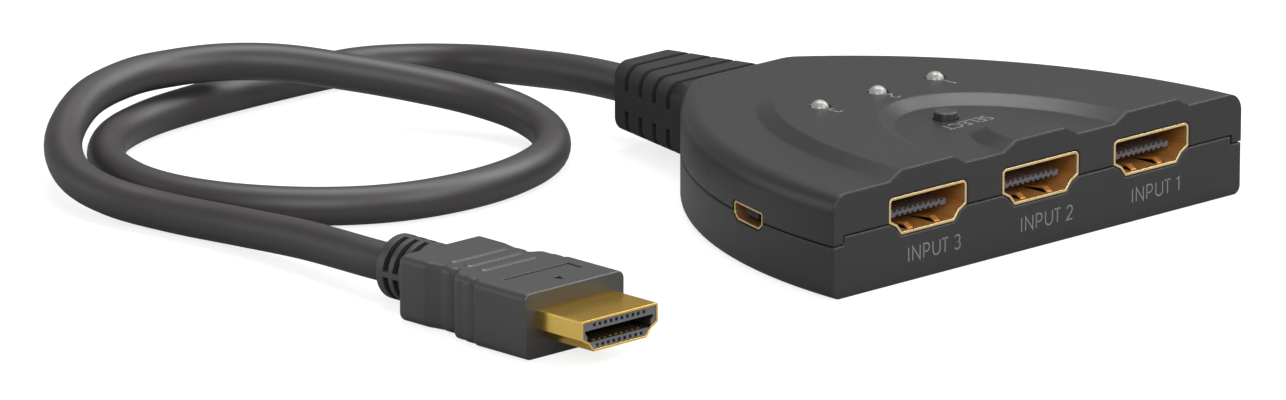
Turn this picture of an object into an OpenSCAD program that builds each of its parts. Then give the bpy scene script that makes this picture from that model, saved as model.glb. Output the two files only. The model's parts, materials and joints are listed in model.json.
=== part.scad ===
// Three way video switch box with a fixed output lead and plug.
// Millimetres, +Z up, sockets facing -Y, origin under the middle of the housing.

/* [Housing] */
// Width across the socket face
body_w = 80; // [76:0.5:88]
// Plan radius of each curved side
side_r = 76; // [73:0.5:82]
// Distance from the centres of the side arcs back to the socket face
front_setback = 1.3; // [0.5:0.1:3]
// Width of the blunt end at the strain relief, before its corners are rounded
rear_w = 18.6; // [17:0.1:20]
// Plan radius of the corners of the blunt end
rear_r = 6; // [4.5:0.1:7]
// Height of the low band round the roof
low_h = 14.6; // [14.3:0.1:16]
// Wall, floor and roof thickness
wall = 2; // [1.7:0.1:2.3]
// Radius along the roof edge
top_edge_r = 2.6; // [2:0.1:3]
// Radius along the floor edge
bottom_edge_r = 1.2; // [0.8:0.1:1.6]

/* [Roof relief] */
// Height of the raised arch above the low band
arch_h = 1.3; // [0.8:0.1:1.8]
// Raised arch, in from each end of the socket face
arch_in = 13.1; // [11.5:0.1:14.5]
// Reach of the raised arch from the socket face
arch_d = 44.4; // [41:0.2:46]
// Width of the rim between the edge of the arch and the hollow
rim_w = 9.8; // [8.8:0.1:10.8]
// Reach of the hollow from the socket face
hollow_d = 26.4; // [24:0.2:28]
// Width of the small tongue in the hollow
tongue_w = 9.5; // [8:0.1:11]
// Reach of the small tongue
tongue_d = 9.4; // [8:0.1:10.5]
// Level run of each sloping edge
slope_run = 2.4; // [1.6:0.1:3]

/* [Seam] */
// Height of the seam along the curved sides
seam_z = 7.35; // [6.8:0.05:7.8]
// Height of the seam across the socket face
front_seam_z = 8.55; // [8.2:0.05:8.9]
// Raised part of the seam, in from each end of the socket face
front_seam_in = 2.1; // [1.9:0.1:3]
// Open width of the seam
seam_gap = 0.2; // [0.1:0.05:0.3]
// Thickness of the lip inside the seam
lip_t = 0.8; // [0.6:0.05:1]
// Height of the lip inside the seam
lip_h = 0.9; // [0.6:0.05:1.1]
// Room round the lip
lip_clear = 0.1; // [0.05:0.05:0.2]

/* [Screws] */
// Diameter of the lower screw posts
low_post_d = 6; // [5.6:0.1:6.6]
// Diameter of the upper screw posts
high_post_d = 5.6; // [5:0.1:6.2]
// Front posts, in from the edge of the socket face
front_post_in = 6.8; // [6.2:0.1:8]
// Front posts, back from the socket face
front_post_y = 9.5; // [8.5:0.1:11]
// Rear posts, out from the middle
rear_post_x = 14; // [12.5:0.1:15]
// Rear posts, back from the socket face
rear_post_y = 44; // [42:0.1:45]
// Length of the cross cut in a screw head
cross_l = 2.3; // [2:0.1:2.6]
// Width of the cross cut
cross_w = 0.65; // [0.5:0.05:0.8]
// Depth of the screw head recess
seat_depth = 2; // [1.7:0.1:2.3]
// Diameter of the screw head recess
seat_d = 4.6; // [4.3:0.1:4.9]
// Diameter of the screw head
screw_head_d = 3.8; // [3.4:0.1:4]
// Height of the screw head
screw_head_h = 1.3; // [1:0.1:1.5]
// Diameter of the screw shank
screw_d = 2; // [1.8:0.05:2.2]
// Length of the screw shank
screw_l = 8.6; // [7.5:0.1:9.2]
// Room round the shank in the lower posts and the board
screw_clear = 0.3; // [0.2:0.05:0.4]
// Room round the shank in the upper posts
pilot_clear = 0.05; // [0.04:0.01:0.1]

/* [Board] */
// Height of the underside of the board
board_z = 3.9; // [3.7:0.05:4]
// Thickness of the board
board_t = 1.6; // [1.5:0.05:1.7]
// Reach of the board from the socket face
board_d = 50; // [48.5:0.1:51]
// Room between the board and the walls
board_clear = 0.6; // [0.4:0.05:0.9]
// Side of the square switching chip
chip_w = 10; // [8:0.1:11]
// Thickness of the switching chip
chip_t = 1.3; // [1:0.05:1.6]
// Switching chip, out from the middle
chip_x = 17; // [15:0.1:18]
// Switching chip, back from the socket face
chip_y = 23; // [21.5:0.1:24]
// Room under the switching chip and the regulator
chip_gap = 0.1; // [0.08:0.01:0.15]
// Number of legs on each side of the switching chip
chip_legs = 10; // [6:1:12]
// Width of a chip leg
chip_leg_w = 0.36; // [0.3:0.01:0.4]
// Reach of a chip leg
chip_leg_l = 1.3; // [1.1:0.05:1.5]
// Thickness of a chip leg
chip_leg_t = 0.2; // [0.15:0.01:0.25]
// Length of the small regulator
regulator_w = 6.5; // [5:0.1:7]
// Depth of the small regulator
regulator_d = 3.5; // [3.2:0.1:4]
// Thickness of the small regulator
regulator_t = 1.6; // [1.2:0.05:2]
// Regulator, out from the middle
regulator_x = 19; // [17:0.1:20]
// Regulator, back from the socket face
regulator_y = 22; // [20.5:0.1:23]
// Reach of a regulator leg
regulator_leg_l = 1.65; // [1.4:0.05:1.8]
// Width of a regulator leg
regulator_leg_w = 0.7; // [0.6:0.05:0.8]
// Thickness of a regulator leg
regulator_leg_t = 0.25; // [0.2:0.01:0.3]
// Length, width and height of a board capacitor
cap_size = [2, 1.25, 0.9]; // [0.8:0.05:2.4]
// Number of board capacitors
caps = 5; // [3:1:5]
// Distance between board capacitors
cap_pitch = 4.2; // [3.8:0.1:4.4]
// Middle of the capacitor row, in from the end of the socket face
cap_in = 22.4; // [22:0.1:23]
// Capacitor row, back from the socket face
cap_y = 30; // [29:0.1:31]
// Length, width and height of a board resistor
res_size = [1.6, 0.8, 0.5]; // [0.4:0.05:2]
// Number of board resistors
resistors = 6; // [3:1:6]
// Distance between board resistors
res_pitch = 3; // [2.6:0.1:3.2]
// Resistor row, back from the socket face
res_y = 37.5; // [36.5:0.1:38.5]
// Length of the metal ends of the small board parts
end_l = 0.4; // [0.3:0.05:0.5]
// How far those ends stand out
end_out = 0.05; // [0.03:0.01:0.08]

/* [Lamps] */
// Diameter of a lamp
lamp_d = 2.7; // [2.6:0.05:2.8]
// Distance between lamps
lamp_pitch = 11.3; // [10:0.1:12]
// Lamp row, back from the socket face
lamp_y = 31.5; // [30.5:0.1:33]
// Height of the lamp tops above the arch
lamp_rise = 0.9; // [0.6:0.05:1.2]
// Room round a lamp in the roof
lamp_clear = 0.2; // [0.15:0.01:0.25]
// Diameter of the lamp foot
lamp_foot_d = 3.5; // [3.4:0.05:3.8]
// Height of the lamp foot
lamp_foot_h = 0.9; // [0.7:0.05:1.1]
// Room above the lamp foot
lamp_foot_clear = 0.2; // [0.15:0.01:0.25]
// Side of a lamp lead
lead_w = 0.45; // [0.4:0.01:0.5]
// Distance between the leads of one lamp
lead_pitch = 2.5; // [2:0.05:2.6]

/* [Button] */
// Diameter of the button stem
button_d = 3.3; // [3:0.05:3.5]
// Button, back from the socket face
button_y = 18.3; // [17.5:0.1:19]
// Height of the button above the hollow
button_rise = 1.1; // [0.9:0.05:1.25]
// Room round the button
button_clear = 0.15; // [0.1:0.01:0.2]
// Side of the switch base
switch_w = 6; // [5.8:0.05:6.2]
// Height of the switch base
switch_h = 3.3; // [3.1:0.05:3.5]
// Thickness of the switch cover plate
plate_t = 0.3; // [0.2:0.01:0.35]
// Diameter of the well in the switch base
well_d = 4.8; // [4.6:0.05:5]
// Thickness of the floor of the switch base
well_floor = 0.7; // [0.6:0.05:0.8]
// Rise of the snap dome
dome_rise = 0.6; // [0.5:0.05:0.7]
// Thickness of the snap dome
dome_t = 0.12; // [0.1:0.01:0.15]
// Room round the snap dome
dome_clear = 0.3; // [0.25:0.01:0.35]
// Thickness of the collar on the stem
collar_t = 0.7; // [0.6:0.05:0.8]
// Room round the collar
collar_clear = 0.25; // [0.2:0.01:0.3]
// Room between the collar and the cover plate
collar_gap = 0.06; // [0.04:0.01:0.08]
// Room between the stem and the snap dome
stem_gap = 0.08; // [0.06:0.01:0.1]
// Step from the stem to its narrow end
stem_step = 0.6; // [0.5:0.05:0.7]
// Edge radius of the button
button_edge_r = 0.25; // [0.2:0.01:0.3]
// Distance between switch legs
switch_leg_pitch = 4.5; // [4:0.05:4.8]
// Width of a switch leg
switch_leg_w = 0.7; // [0.6:0.05:0.75]
// Thickness of a switch leg
switch_leg_t = 0.3; // [0.25:0.01:0.35]
// Diameter of a hole for a switch leg
switch_hole_d = 1.1; // [1:0.05:1.2]
// How far leads and legs reach below the board
leg_out = 0.7; // [0.6:0.05:0.8]

/* [Video sockets] */
// Outer sockets, in from the ends of the socket face
socket_in = 18.1; // [17.8:0.1:19.5]
// Height of the socket centres
socket_z = 9.48; // [9.3:0.02:9.6]
// Outer width of a socket shell
socket_w = 14.95; // [14.5:0.05:15.4]
// Outer height of a socket shell
socket_h = 5.45; // [5.25:0.05:5.6]
// Radius of the upper corners of a socket shell
socket_corner_r = 0.75; // [0.6:0.01:0.9]
// Lower corners of a socket shell, in from its sides
socket_low_in = 2.4; // [2.2:0.05:2.6]
// Kink of the sloping lower sides, in from the sides
socket_kink_in = 1.4; // [1.2:0.05:1.6]
// Height of that kink above the socket floor
socket_kink_h = 1.25; // [1.1:0.05:1.4]
// Height of the straight sides above the socket floor
socket_side_h = 2; // [1.8:0.05:2.2]
// Depth of a socket shell
socket_d = 11; // [10.5:0.1:11.5]
// Sheet thickness of a socket shell
socket_sheet = 0.38; // [0.35:0.01:0.5]
// Room round a socket in the front wall
socket_clear = 0.15; // [0.1:0.01:0.2]
// Depth of the socket tongue behind the face
socket_tongue_y = 1.9; // [1.6:0.05:2.3]
// Width of the socket tongue
socket_tongue_w = 10.8; // [10.4:0.05:11.2]
// Thickness of the socket tongue
socket_tongue_t = 0.9; // [0.86:0.02:1]
// Edge radius of the socket tongue
socket_tongue_r = 0.35; // [0.25:0.01:0.4]
// Depth of the block behind the socket tongue
socket_block_d = 3.6; // [3.2:0.1:4]
// Depth of the foot behind a socket shell
socket_foot_d = 1.4; // [1.2:0.05:1.6]
// Socket feet and socket blocks, in from the sides
socket_foot_in = 0.3; // [0.2:0.05:0.4]
// Distance of the socket tongue below the socket centre
socket_tongue_drop = 0.3; // [0.2:0.02:0.4]
// Pitch of the contacts
contact_pitch = 1; // [0.94:0.01:1.04]
// Width of a contact
contact_w = 0.3; // [0.24:0.01:0.34]
// Thickness of a contact
contact_t = 0.2; // [0.15:0.01:0.24]
// Room round a contact
contact_clear = 0.03; // [0.02:0.01:0.05]
// Length of the contact feet on the board
contact_foot_l = 1; // [0.9:0.05:1.1]
// Contact ends, back from the front of the tongue
contact_back = 0.5; // [0.4:0.05:0.7]
// Width of the grooves that hold the contacts
groove_w = 0.6; // [0.5:0.01:0.66]
// Depth of those grooves
groove_d = 0.26; // [0.24:0.01:0.3]
// Width of a spring finger in the socket floor
finger_w = 1; // [0.9:0.05:1.2]
// Spring fingers, out from the socket centre
finger_x = 2.6; // [2.3:0.05:2.9]
// Room beside a spring finger
finger_room = 0.4; // [0.3:0.05:0.5]
// Spring finger tips, back from the mouth
finger_tip = 0.75; // [0.65:0.05:0.9]
// Length of a spring finger
finger_l = 6.1; // [5.6:0.1:6.5]
// Rise of a spring finger
finger_rise = 0.95; // [0.8:0.01:1]
// Thickness of a spring finger
finger_t = 0.3; // [0.25:0.01:0.35]
// Width of a foot on the socket shell
socket_leg_w = 1.4; // [1.2:0.05:1.6]
// Socket shell feet, back from the mouth
socket_leg_y = [4.4, 9]; // [4:0.1:9.4]
// Room round those feet in the board
socket_leg_clear = 0.25; // [0.2:0.01:0.3]

/* [Power socket] */
// Power socket, back from the socket face
power_y = 19.5; // [18.5:0.1:21]
// Outer width of the power socket
power_w = 8; // [7.6:0.05:8.4]
// Outer height of the power socket
power_h = 2.6; // [2.5:0.02:2.7]
// Lower corners of the power socket, in from its sides
power_low_in = 1.05; // [0.95:0.05:1.15]
// Height of the straight sides above its floor
power_side_h = 0.85; // [0.75:0.05:0.95]
// Cut of its upper corners
power_corner = 0.3; // [0.25:0.01:0.35]
// Depth of the power socket
power_d = 5.2; // [4.8:0.1:5.6]
// Sheet thickness of the power socket
power_sheet = 0.3; // [0.25:0.01:0.35]
// Distance of the power socket mouth inside the wall
power_in = 0.2; // [0.15:0.01:0.3]
// Room round the power socket in the wall
power_clear = 0.15; // [0.1:0.01:0.2]
// Height of the power socket above the board
power_rise = 0.7; // [0.5:0.05:0.9]
// Legs under the power socket, out from its middle
power_leg_x = 2.2; // [2:0.05:2.4]
// Width of a leg under the power socket
power_leg_w = 0.8; // [0.6:0.05:1]
// Length of a leg under the power socket
power_leg_l = 2.2; // [1.8:0.05:2.4]
// Legs under the power socket, back from its mouth
power_leg_y = 2.7; // [2.6:0.05:2.9]
// Pitch of the power contacts
power_pitch = 0.65; // [0.6:0.01:0.7]
// Width of the power tongue
power_tongue_w = 3.8; // [3.6:0.05:4]
// Thickness of the power tongue
power_tongue_t = 0.85; // [0.75:0.01:0.9]
// Underside of the power tongue, below the socket centre
power_tongue_low = 0.2; // [0.15:0.01:0.25]
// Power tongue, back from the mouth
power_tongue_y = 0.6; // [0.5:0.05:0.8]
// Depth of the block behind the power tongue
power_block_d = 1.5; // [1.3:0.05:1.7]
// Depth of the foot behind the power socket
power_foot_d = 0.8; // [0.7:0.05:0.9]
// Power socket foot, in from the sides
power_foot_in = 0.2; // [0.15:0.01:0.25]

/* [Output lead] */
// Width of the strain relief at the housing
relief_w = 21; // [20:0.1:21.6]
// Width of the strain relief at the lead
relief_end_w = 12.4; // [11:0.1:13.5]
// Height of the strain relief
relief_h = 10.2; // [9.6:0.05:10.4]
// Height of the middle of the strain relief
relief_z = 7.55; // [7.45:0.05:7.65]
// Corner radius of the strain relief
relief_r = 2.3; // [1.8:0.1:2.8]
// Reach of the strain relief behind the housing
relief_out = 17.9; // [17:0.1:19]
// Distance between slots in the strain relief
slot_pitch = 3.68; // [3.4:0.01:3.8]
// Width of a slot in the strain relief
slot_w = 1; // [0.7:0.05:1.1]
// Depth of a slot in the strain relief
slot_depth = 1.6; // [1.2:0.05:1.8]
// Height of the web between upper and lower slots
slot_web = 2.8; // [2.2:0.1:3.4]
// Number of slots in the strain relief
slots = 4; // [3:1:4]
// Middle of the first slot, in from the end of the strain relief
slot_in = 3.15; // [2.8:0.05:3.3]
// Room round the strain relief in the housing
relief_clear = 0.15; // [0.1:0.01:0.2]
// Width of the flange that holds the strain relief
flange_w = 24; // [23.4:0.1:24.6]
// Height of the flange
flange_h = 9.8; // [9.4:0.1:10]
// Thickness of the flange
flange_t = 2.4; // [2:0.1:2.8]
// Reach of the opening for the strain relief into the housing, ahead of the flange's back
opening_in = 0.3; // [0.25:0.05:0.4]
// Room between the flange and the wall
flange_clear = 0.3; // [0.25:0.01:0.35]
// Bare length of the strain relief before it tapers
neck_l = 0.4; // [0.3:0.05:0.6]
// Diameter of the lead
lead_d = 5.4; // [5:0.1:5.8]
// Diameter of a wire pair inside the lead
wire_d = 1; // [0.8:0.05:1.2]
// Distance between the wire pairs
wire_pitch = 1.5; // [1.3:0.05:1.8]
// Length of the wire pairs on the board
wire_on_board = 4; // [3.5:0.1:4.5]

/* [Plug] */
// Width of the plug body
plug_w = 18.2; // [17.4:0.1:19]
// Height of the plug body
plug_h = 9.15; // [9:0.05:9.6]
// Length of the plug body
plug_l = 26.3; // [25.5:0.1:27]
// Edge radius of the plug body
plug_edge_r = 1; // [0.6:0.05:1.4]
// Length of the wide front block
plug_front_l = 10.2; // [9.8:0.1:10.6]
// Width of the waist
plug_waist_w = 13.8; // [13.2:0.1:14.2]
// Width of the rear block
plug_rear_w = 15.3; // [14.9:0.1:15.8]
// Width across the grip ridges
plug_ridge_w = 17.2; // [16.8:0.1:17.6]
// Radius of a grip ridge
plug_ridge_r = 1; // [0.9:0.05:1.05]
// How far the grip ridges stand out
plug_ridge_out = 0.5; // [0.4:0.01:0.55]
// Length of the ridged grip behind the front block
plug_grip_l = 4.4; // [4.2:0.1:4.6]
// Length of the waist
plug_waist_l = 0.6; // [0.5:0.1:0.8]
// Length of the collar between waist and rear block
plug_collar_l = 4.1; // [3.8:0.1:4.4]
// Step of the collar below the rear block
plug_collar_in = 0.5; // [0.4:0.05:0.6]
// Length of the sloping steps
plug_slope_l = 0.6; // [0.5:0.1:0.8]
// Places of the raised bars behind the front block
bars = [2.7, 5.5, 8.5]; // [2.4:0.1:9]
// Length of a raised bar on the plug
bar_l = 10.2; // [9:0.1:11.5]
// Width of a raised bar
bar_w = 1.5; // [1.2:0.05:1.8]
// Height of a raised bar
bar_h = 0.2; // [0.15:0.05:0.3]
// Width of the engraved line
mark_w = 0.35; // [0.25:0.05:0.45]
// Depth of the engraved marks
mark_depth = 0.25; // [0.15:0.05:0.3]
// Length of the engraved cross line
mark_l = 12; // [11:0.1:13]
// Length of the engraved upright at the end of the cross line
mark_up = 3; // [2.6:0.1:3.4]
// Engraved cross line, back from the front of the plug body
mark_y = 7.7; // [7.2:0.1:8.2]
// Side of the engraved arrow
arrow_w = 1.6; // [1.4:0.05:1.8]
// Engraved arrow, back from the front of the plug body
arrow_y = 2.2; // [2:0.1:2.6]
// Bare length of the plug shell
plug_tip_l = 8.65; // [8:0.05:9.2]
// Length of the plug shell inside the body
plug_root_l = 6; // [5:0.1:7]
// Sheet thickness of the plug shell
plug_sheet = 0.3; // [0.25:0.01:0.35]
// Room between the plug shell and a socket shell
plug_fit = 0.13; // [0.1:0.01:0.16]
// Room round the plug shell in the plug body
plug_root_clear = 0.05; // [0.03:0.01:0.06]
// Plug insulator, in from the mouth of the shell
insulator_in = 0.15; // [0.1:0.01:0.2]
// Room round the plug insulator
insulator_clear = 0.02; // [0.02:0.01:0.03]
// Width of the slot in the plug insulator
insulator_slot_w = 12.4; // [12.2:0.05:12.5]
// Height of the roof of that slot above the plug centre
insulator_slot_top = 0.75; // [0.7:0.01:0.8]
// Depth of the floor of that slot below the plug centre
insulator_slot_low = 0.95; // [0.9:0.01:1]
// Side of the small wells above and below the slot
well_w = 0.5; // [0.45:0.01:0.55]
// Plug contact tips, back from the mouth
plug_contact_in = 0.8; // [0.7:0.05:0.9]
// Diameter of the plug strain relief
ring_d = 9; // [8.4:0.1:9.1]
// Length of the plug strain relief
ring_l = 7.7; // [7.2:0.1:8.4]
// Width of a slot in the plug strain relief
ring_slot_w = 1; // [0.8:0.05:1.2]
// Depth of a slot in the plug strain relief
ring_slot_depth = 1.2; // [0.9:0.05:1.4]
// First slot, back from the plug body
ring_slot_in = 0.9; // [0.8:0.05:1]
// Distance between slots in the plug strain relief
ring_pitch = 1.9; // [1.7:0.05:2.2]
// Height of the web between its slots
ring_web = 0.8; // [0.6:0.05:1]

/* [Hidden] */
$fn = 64;
eps = 0.4;
far = 200;
side_cx = sqrt(side_r * side_r - front_setback * front_setback) - body_w / 2;
body_d = sqrt(pow(side_r, 2) - pow(side_cx + rear_w / 2, 2)) - front_setback;
front_y = -body_d / 2;
rear_y = body_d / 2;
arc_y = front_y - front_setback;
rear_cy = rear_y - rear_r;
rear_cx = sqrt(pow(side_r - rear_r, 2) - pow(rear_cy - arc_y, 2)) - side_cx;
rear_from = atan2(rear_cy - arc_y, rear_cx + side_cx);
rear_flats = 3;
roof_z = low_h - wall;
top_z = low_h + arch_h;
arch_w = body_w - 2 * arch_in;
hollow_w = arch_w - 2 * rim_w;
front_seam_w = body_w - 2 * front_seam_in;
socket_pitch = body_w / 2 - socket_in;
board_top = board_z + board_t;
arch_steps = 48;
posts = [
  [-(body_w / 2 - front_post_in), front_y + front_post_y],
  [body_w / 2 - front_post_in, front_y + front_post_y],
  [-rear_post_x, front_y + rear_post_y],
  [rear_post_x, front_y + rear_post_y]
];
button_at = [0, front_y + button_y];
switch_top = board_top + switch_h;
well_z = board_top + well_floor;
button_top = low_h + button_rise;
stem_end = well_z + dome_rise + stem_gap;
collar_top = switch_top - collar_gap;
lamp_top = top_z + lamp_rise;
lamp_foot_top = roof_z - lamp_foot_clear;
lamp_base = lamp_foot_top - lamp_foot_h;
board_under = board_z - leg_out;
power_angle = asin((power_y + front_setback) / side_r);
power_x0 = side_cx - side_r * cos(power_angle);
power_y0 = arc_y + side_r * sin(power_angle);
power_z = board_top + power_rise + power_h / 2;
tongue_top = -socket_tongue_drop + socket_tongue_t / 2;
tongue_low = -socket_tongue_drop - socket_tongue_t / 2;
contact_sink = groove_d - contact_clear - contact_t / 2;
socket_board = board_top - socket_z;
contact_start = socket_tongue_y + contact_back;
contact_riser = socket_d + socket_foot_d / 3;
contact_end = socket_d + socket_foot_d + contact_foot_l;
upper_row = [for (i = [0 : 9]) (i - 4.5) * contact_pitch];
lower_row = [for (i = [0 : 8]) (i - 4) * contact_pitch];
relief_end = rear_y + relief_out;
neck_end = side_y(relief_w / 2, side_r) + neck_l;
flange_back = side_y(flange_w / 2, side_r - wall) - flange_clear;
flange_front = flange_back - flange_t;
first_slot = relief_end - slot_in;
plug_x = -81;
plug_y = -22.65;
plug_z = plug_h / 2;
plug_back = plug_y + plug_l;
plug_waist_y = plug_front_l + plug_grip_l + plug_slope_l;
plug_collar_y = plug_waist_y + plug_waist_l + plug_slope_l;
ring_end = plug_back + ring_l;

// Route of the lead from the strain relief to the plug
route = [
  [0, relief_end, relief_z], [0, 55.95, 7.5], [0.5, 63.95, 6.9], [2, 72.95, 5.6], [3.8, 82.95, 4],
  [2.8, 89.75, 3.2], [-0.8, 95.55, 2.8], [-6.3, 99.25, 2.75], [-12.6, 100.55, 2.75], [-25, 100.75, 2.75],
  [-38, 100.15, 2.75], [-50, 98.15, 2.75], [-60.5, 93.35, 2.75], [-69, 84.65, 2.75],
  [-73.3, 74.15, 2.75], [-73.6, 64.45, 2.75], [-70, 54.45, 2.75], [-63, 45.65, 2.75],
  [-54, 40.25, 2.75], [-43, 38.45, 2.75], [-32, 39.95, 2.75], [-22, 44.65, 2.75], [-15, 52.15, 3.1],
  [-12.5, 60.65, 4], [-14, 68.95, 5.1], [-18.5, 76.95, 6.4], [-24, 84.95, 7.6], [-29.4, 91.95, 8.5],
  [-35.8, 97.15, 8.8], [-43.5, 99.85, 8.8], [-52, 99.85, 8.8], [-62.5, 96.75, 8], [-73.4, 88.95, 6],
  [-80.4, 78.95, 4.3], [-82.4, 68.95, 3.3], [-81, 57.95, 2.8], [-79.6, 44.95, 3.1], [-79.5, 31.95, 3.8],
  [plug_x, ring_end + 6, 4.5], [plug_x, ring_end, plug_z]
];
lead_sides = 10;

// Helpers

// Place along Y where a side arc of radius r stands at distance x from the middle
function side_y(x, r) = arc_y + sqrt(r * r - (side_cx + x) * (side_cx + x));

// Outline moved inward by t, for an outline that runs anticlockwise
function edge_in(a, b) = let (d = (b - a) / norm(b - a)) [-d[1], d[0]];
function corner_in(p, i, t) =
  let (n = len(p), b = p[i], u = edge_in(p[(i + n - 1) % n], b), v = edge_in(b, p[(i + 1) % n]))
  b + t * (u + v) / (1 + u * v);
function inset(p, t) = [for (i = [0 : len(p) - 1]) corner_in(p, i, t)];

// Outline of a video socket shell about its centre, moved inward by t, with round upper corners
function video_sharp() =
  let (
    x = socket_w / 2,
    z = socket_h / 2,
    low = x - socket_low_in,
    kink = x - socket_kink_in,
    kink_z = -z + socket_kink_h,
    side_z = -z + socket_side_h)
  [[-low, -z], [low, -z], [kink, kink_z], [x, side_z], [x, z], [-x, z], [-x, side_z], [-kink, kink_z]];
function quarter(c, r, from) = [for (a = [from : 30 : from + 90]) c + r * [cos(a), sin(a)]];
function video_outline(t) =
  let (p = inset(video_sharp(), t), r = max(0.15, socket_corner_r - t))
  concat(
    [p[0], p[1], p[2], p[3]],
    quarter(p[4] - [r, r], r, 0),
    quarter(p[5] + [r, -r], r, 90),
    [p[6], p[7]]);

// Outline of the power socket shell about its centre
function power_outline() =
  let (
    x = power_w / 2,
    z = power_h / 2,
    low = x - power_low_in,
    side_z = -z + power_side_h,
    c = power_corner)
  [[-low, -z], [low, -z], [x, side_z], [x, z - c], [x - c, z], [-x + c, z], [-x, z - c], [-x, side_z]];

function arch_ring(w, d, z) = concat(
  [[w, -3, z]],
  [for (i = [0 : arch_steps]) [w * cos(180 * i / arch_steps), d * sin(180 * i / arch_steps), z]],
  [[-w, -3, z]]);

module between(low, high) {
  n = len(low);
  polyhedron(
    points = concat(low, high),
    faces = concat(
      [[for (i = [0 : n - 1]) i]],
      [[for (i = [n - 1 : -1 : 0]) n + i]],
      [for (i = [0 : n - 1]) [i, n + i, n + (i + 1) % n, (i + 1) % n]]));
}

// Half ellipse with a sloping edge, wide at the bottom for run > 0
module arch(w, d, run, over, under) {
  k = run / arch_h;
  translate([0, front_y, low_h])
    between(
      arch_ring(w + k * (arch_h + under), d + k * (arch_h + under), -under),
      arch_ring(w - k * over, d - k * over, arch_h + over));
}

module along_y(y0, l) {
  translate([0, y0 + l, 0])
    rotate([90, 0, 0])
      linear_extrude(l)
        children();
}

module across_x(x0, l) {
  translate([x0, 0, 0])
    rotate([90, 0, 90])
      linear_extrude(l)
        children();
}

module rounded_rect(w, h, r) {
  square([w - 2 * r, h], center = true);
  square([w, h - 2 * r], center = true);
  for (x = [-1, 1], y = [-1, 1])
    translate([x * (w / 2 - r), y * (h / 2 - r)])
      circle(r);
}

module corner_cut(r) {
  difference() {
    square(2 * r);
    circle(r);
  }
}

module edge_profile(r, z0, z1) {
  difference() {
    translate([0, z0])
      square([r, z1 - z0]);
    translate([r - top_edge_r, z1 - top_edge_r])
      corner_cut(top_edge_r);
    translate([r - bottom_edge_r, z0 + bottom_edge_r])
      mirror([0, 1])
        corner_cut(bottom_edge_r);
  }
}

module rolled_disc(r) {
  rotate_extrude()
    edge_profile(r, 0, low_h);
}

// All that lies behind an upright wall with rolled edges, which faces along an angle at distance r
module rolled_wall(r, angle) {
  rotate([0, 0, angle])
    translate([r - far, 0, 0])
      along_y(-far / 2, far)
        edge_profile(far, 0, low_h);
}

// Closed outer form of the housing below the roof relief
module outer_form() {
  intersection() {
    translate([side_cx, arc_y, 0])
      rolled_disc(side_r);
    translate([-side_cx, arc_y, 0])
      rolled_disc(side_r);
    rolled_wall(rear_y, 90);
    intersection_for(s = [-1, 1], k = [1 : rear_flats])
      translate([s * rear_cx, rear_cy, 0])
        rolled_wall(rear_r, 90 - s * k * (90 - rear_from) / (rear_flats + 1));
    translate([-far, front_y, -far])
      cube(2 * far);
  }
}

// Upright prism of the plan form moved inward by t
module plan_prism(t, z0, z1) {
  intersection() {
    translate([side_cx, arc_y, z0])
      cylinder(r = side_r - t, h = z1 - z0);
    translate([-side_cx, arc_y, z0])
      cylinder(r = side_r - t, h = z1 - z0);
    translate([-far, front_y + t, -far])
      cube([2 * far, body_d - 2 * t, 2 * far]);
  }
}

module inside() {
  plan_prism(wall, wall, roof_z);
}

module below_seam(gap) {
  translate([-far, -far, -far])
    cube([2 * far, 2 * far, far + seam_z + gap]);
  translate([-front_seam_w / 2 - gap, front_y - eps, 0])
    cube([front_seam_w + 2 * gap, wall + 0.3 + eps, front_seam_z + gap]);
}

module at_power() {
  translate([power_x0, power_y0, power_z])
    rotate([0, 0, -90 - power_angle])
      translate([0, power_in, 0])
        children();
}

module wall_openings() {
  for (i = [-1, 0, 1])
    translate([i * socket_pitch, front_y, socket_z])
      along_y(-1, wall + 2)
        polygon(video_outline(-socket_clear));
  at_power()
    along_y(-power_in - 1, wall + 2)
      polygon(inset(power_outline(), -power_clear));
  translate([0, 0, relief_z])
    along_y(flange_back - opening_in, far / 2)
      rounded_rect(relief_w + 2 * relief_clear, relief_h + 2 * relief_clear, relief_r);
}

module bottom_cover() {
  color([0.2, 0.2, 0.21])
    difference() {
      union() {
        difference() {
          intersection() {
            outer_form();
            below_seam(0);
          }
          inside();
        }
        difference() {
          plan_prism(wall - lip_t, seam_z - eps, seam_z + lip_h);
          inside();
        }
        for (p = posts)
          translate([p[0], p[1], wall - eps])
            cylinder(d = low_post_d, h = board_z - wall + eps);
      }
      wall_openings();
      for (p = posts)
        translate([p[0], p[1], 0]) {
          translate([0, 0, -eps])
            cylinder(d = seat_d, h = seat_depth + eps);
          cylinder(d = screw_d + 2 * screw_clear, h = board_z + eps);
        }
    }
}

module top_cover() {
  color([0.2, 0.2, 0.21])
    difference() {
      union() {
        difference() {
          union() {
            difference() {
              union() {
                outer_form();
                intersection() {
                  arch(arch_w / 2, arch_d, slope_run, 0, eps);
                  translate([-far, front_y, 0])
                    cube(2 * far);
                }
              }
              arch(hollow_w / 2, hollow_d, -slope_run, eps, 0);
            }
            intersection() {
              arch(tongue_w / 2, tongue_d, slope_run, 0, eps);
              translate([-far, front_y, 0])
                cube(2 * far);
            }
          }
          below_seam(seam_gap);
          plan_prism(wall - lip_t - lip_clear, 0, seam_z + lip_h + lip_clear);
          inside();
        }
        for (p = posts)
          translate([p[0], p[1], board_top])
            cylinder(d = high_post_d, h = roof_z - board_top + eps);
      }
      wall_openings();
      for (p = posts)
        translate([p[0], p[1], board_top - eps])
          cylinder(d = screw_d + 2 * pilot_clear, h = roof_z - board_top);
      for (i = [-1, 0, 1])
        translate([i * lamp_pitch, front_y + lamp_y, roof_z - eps])
          cylinder(d = lamp_d + 2 * lamp_clear, h = top_z);
      translate([button_at[0], button_at[1], roof_z - eps])
        cylinder(d = button_d + 2 * button_clear, h = top_z);
    }
}

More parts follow.
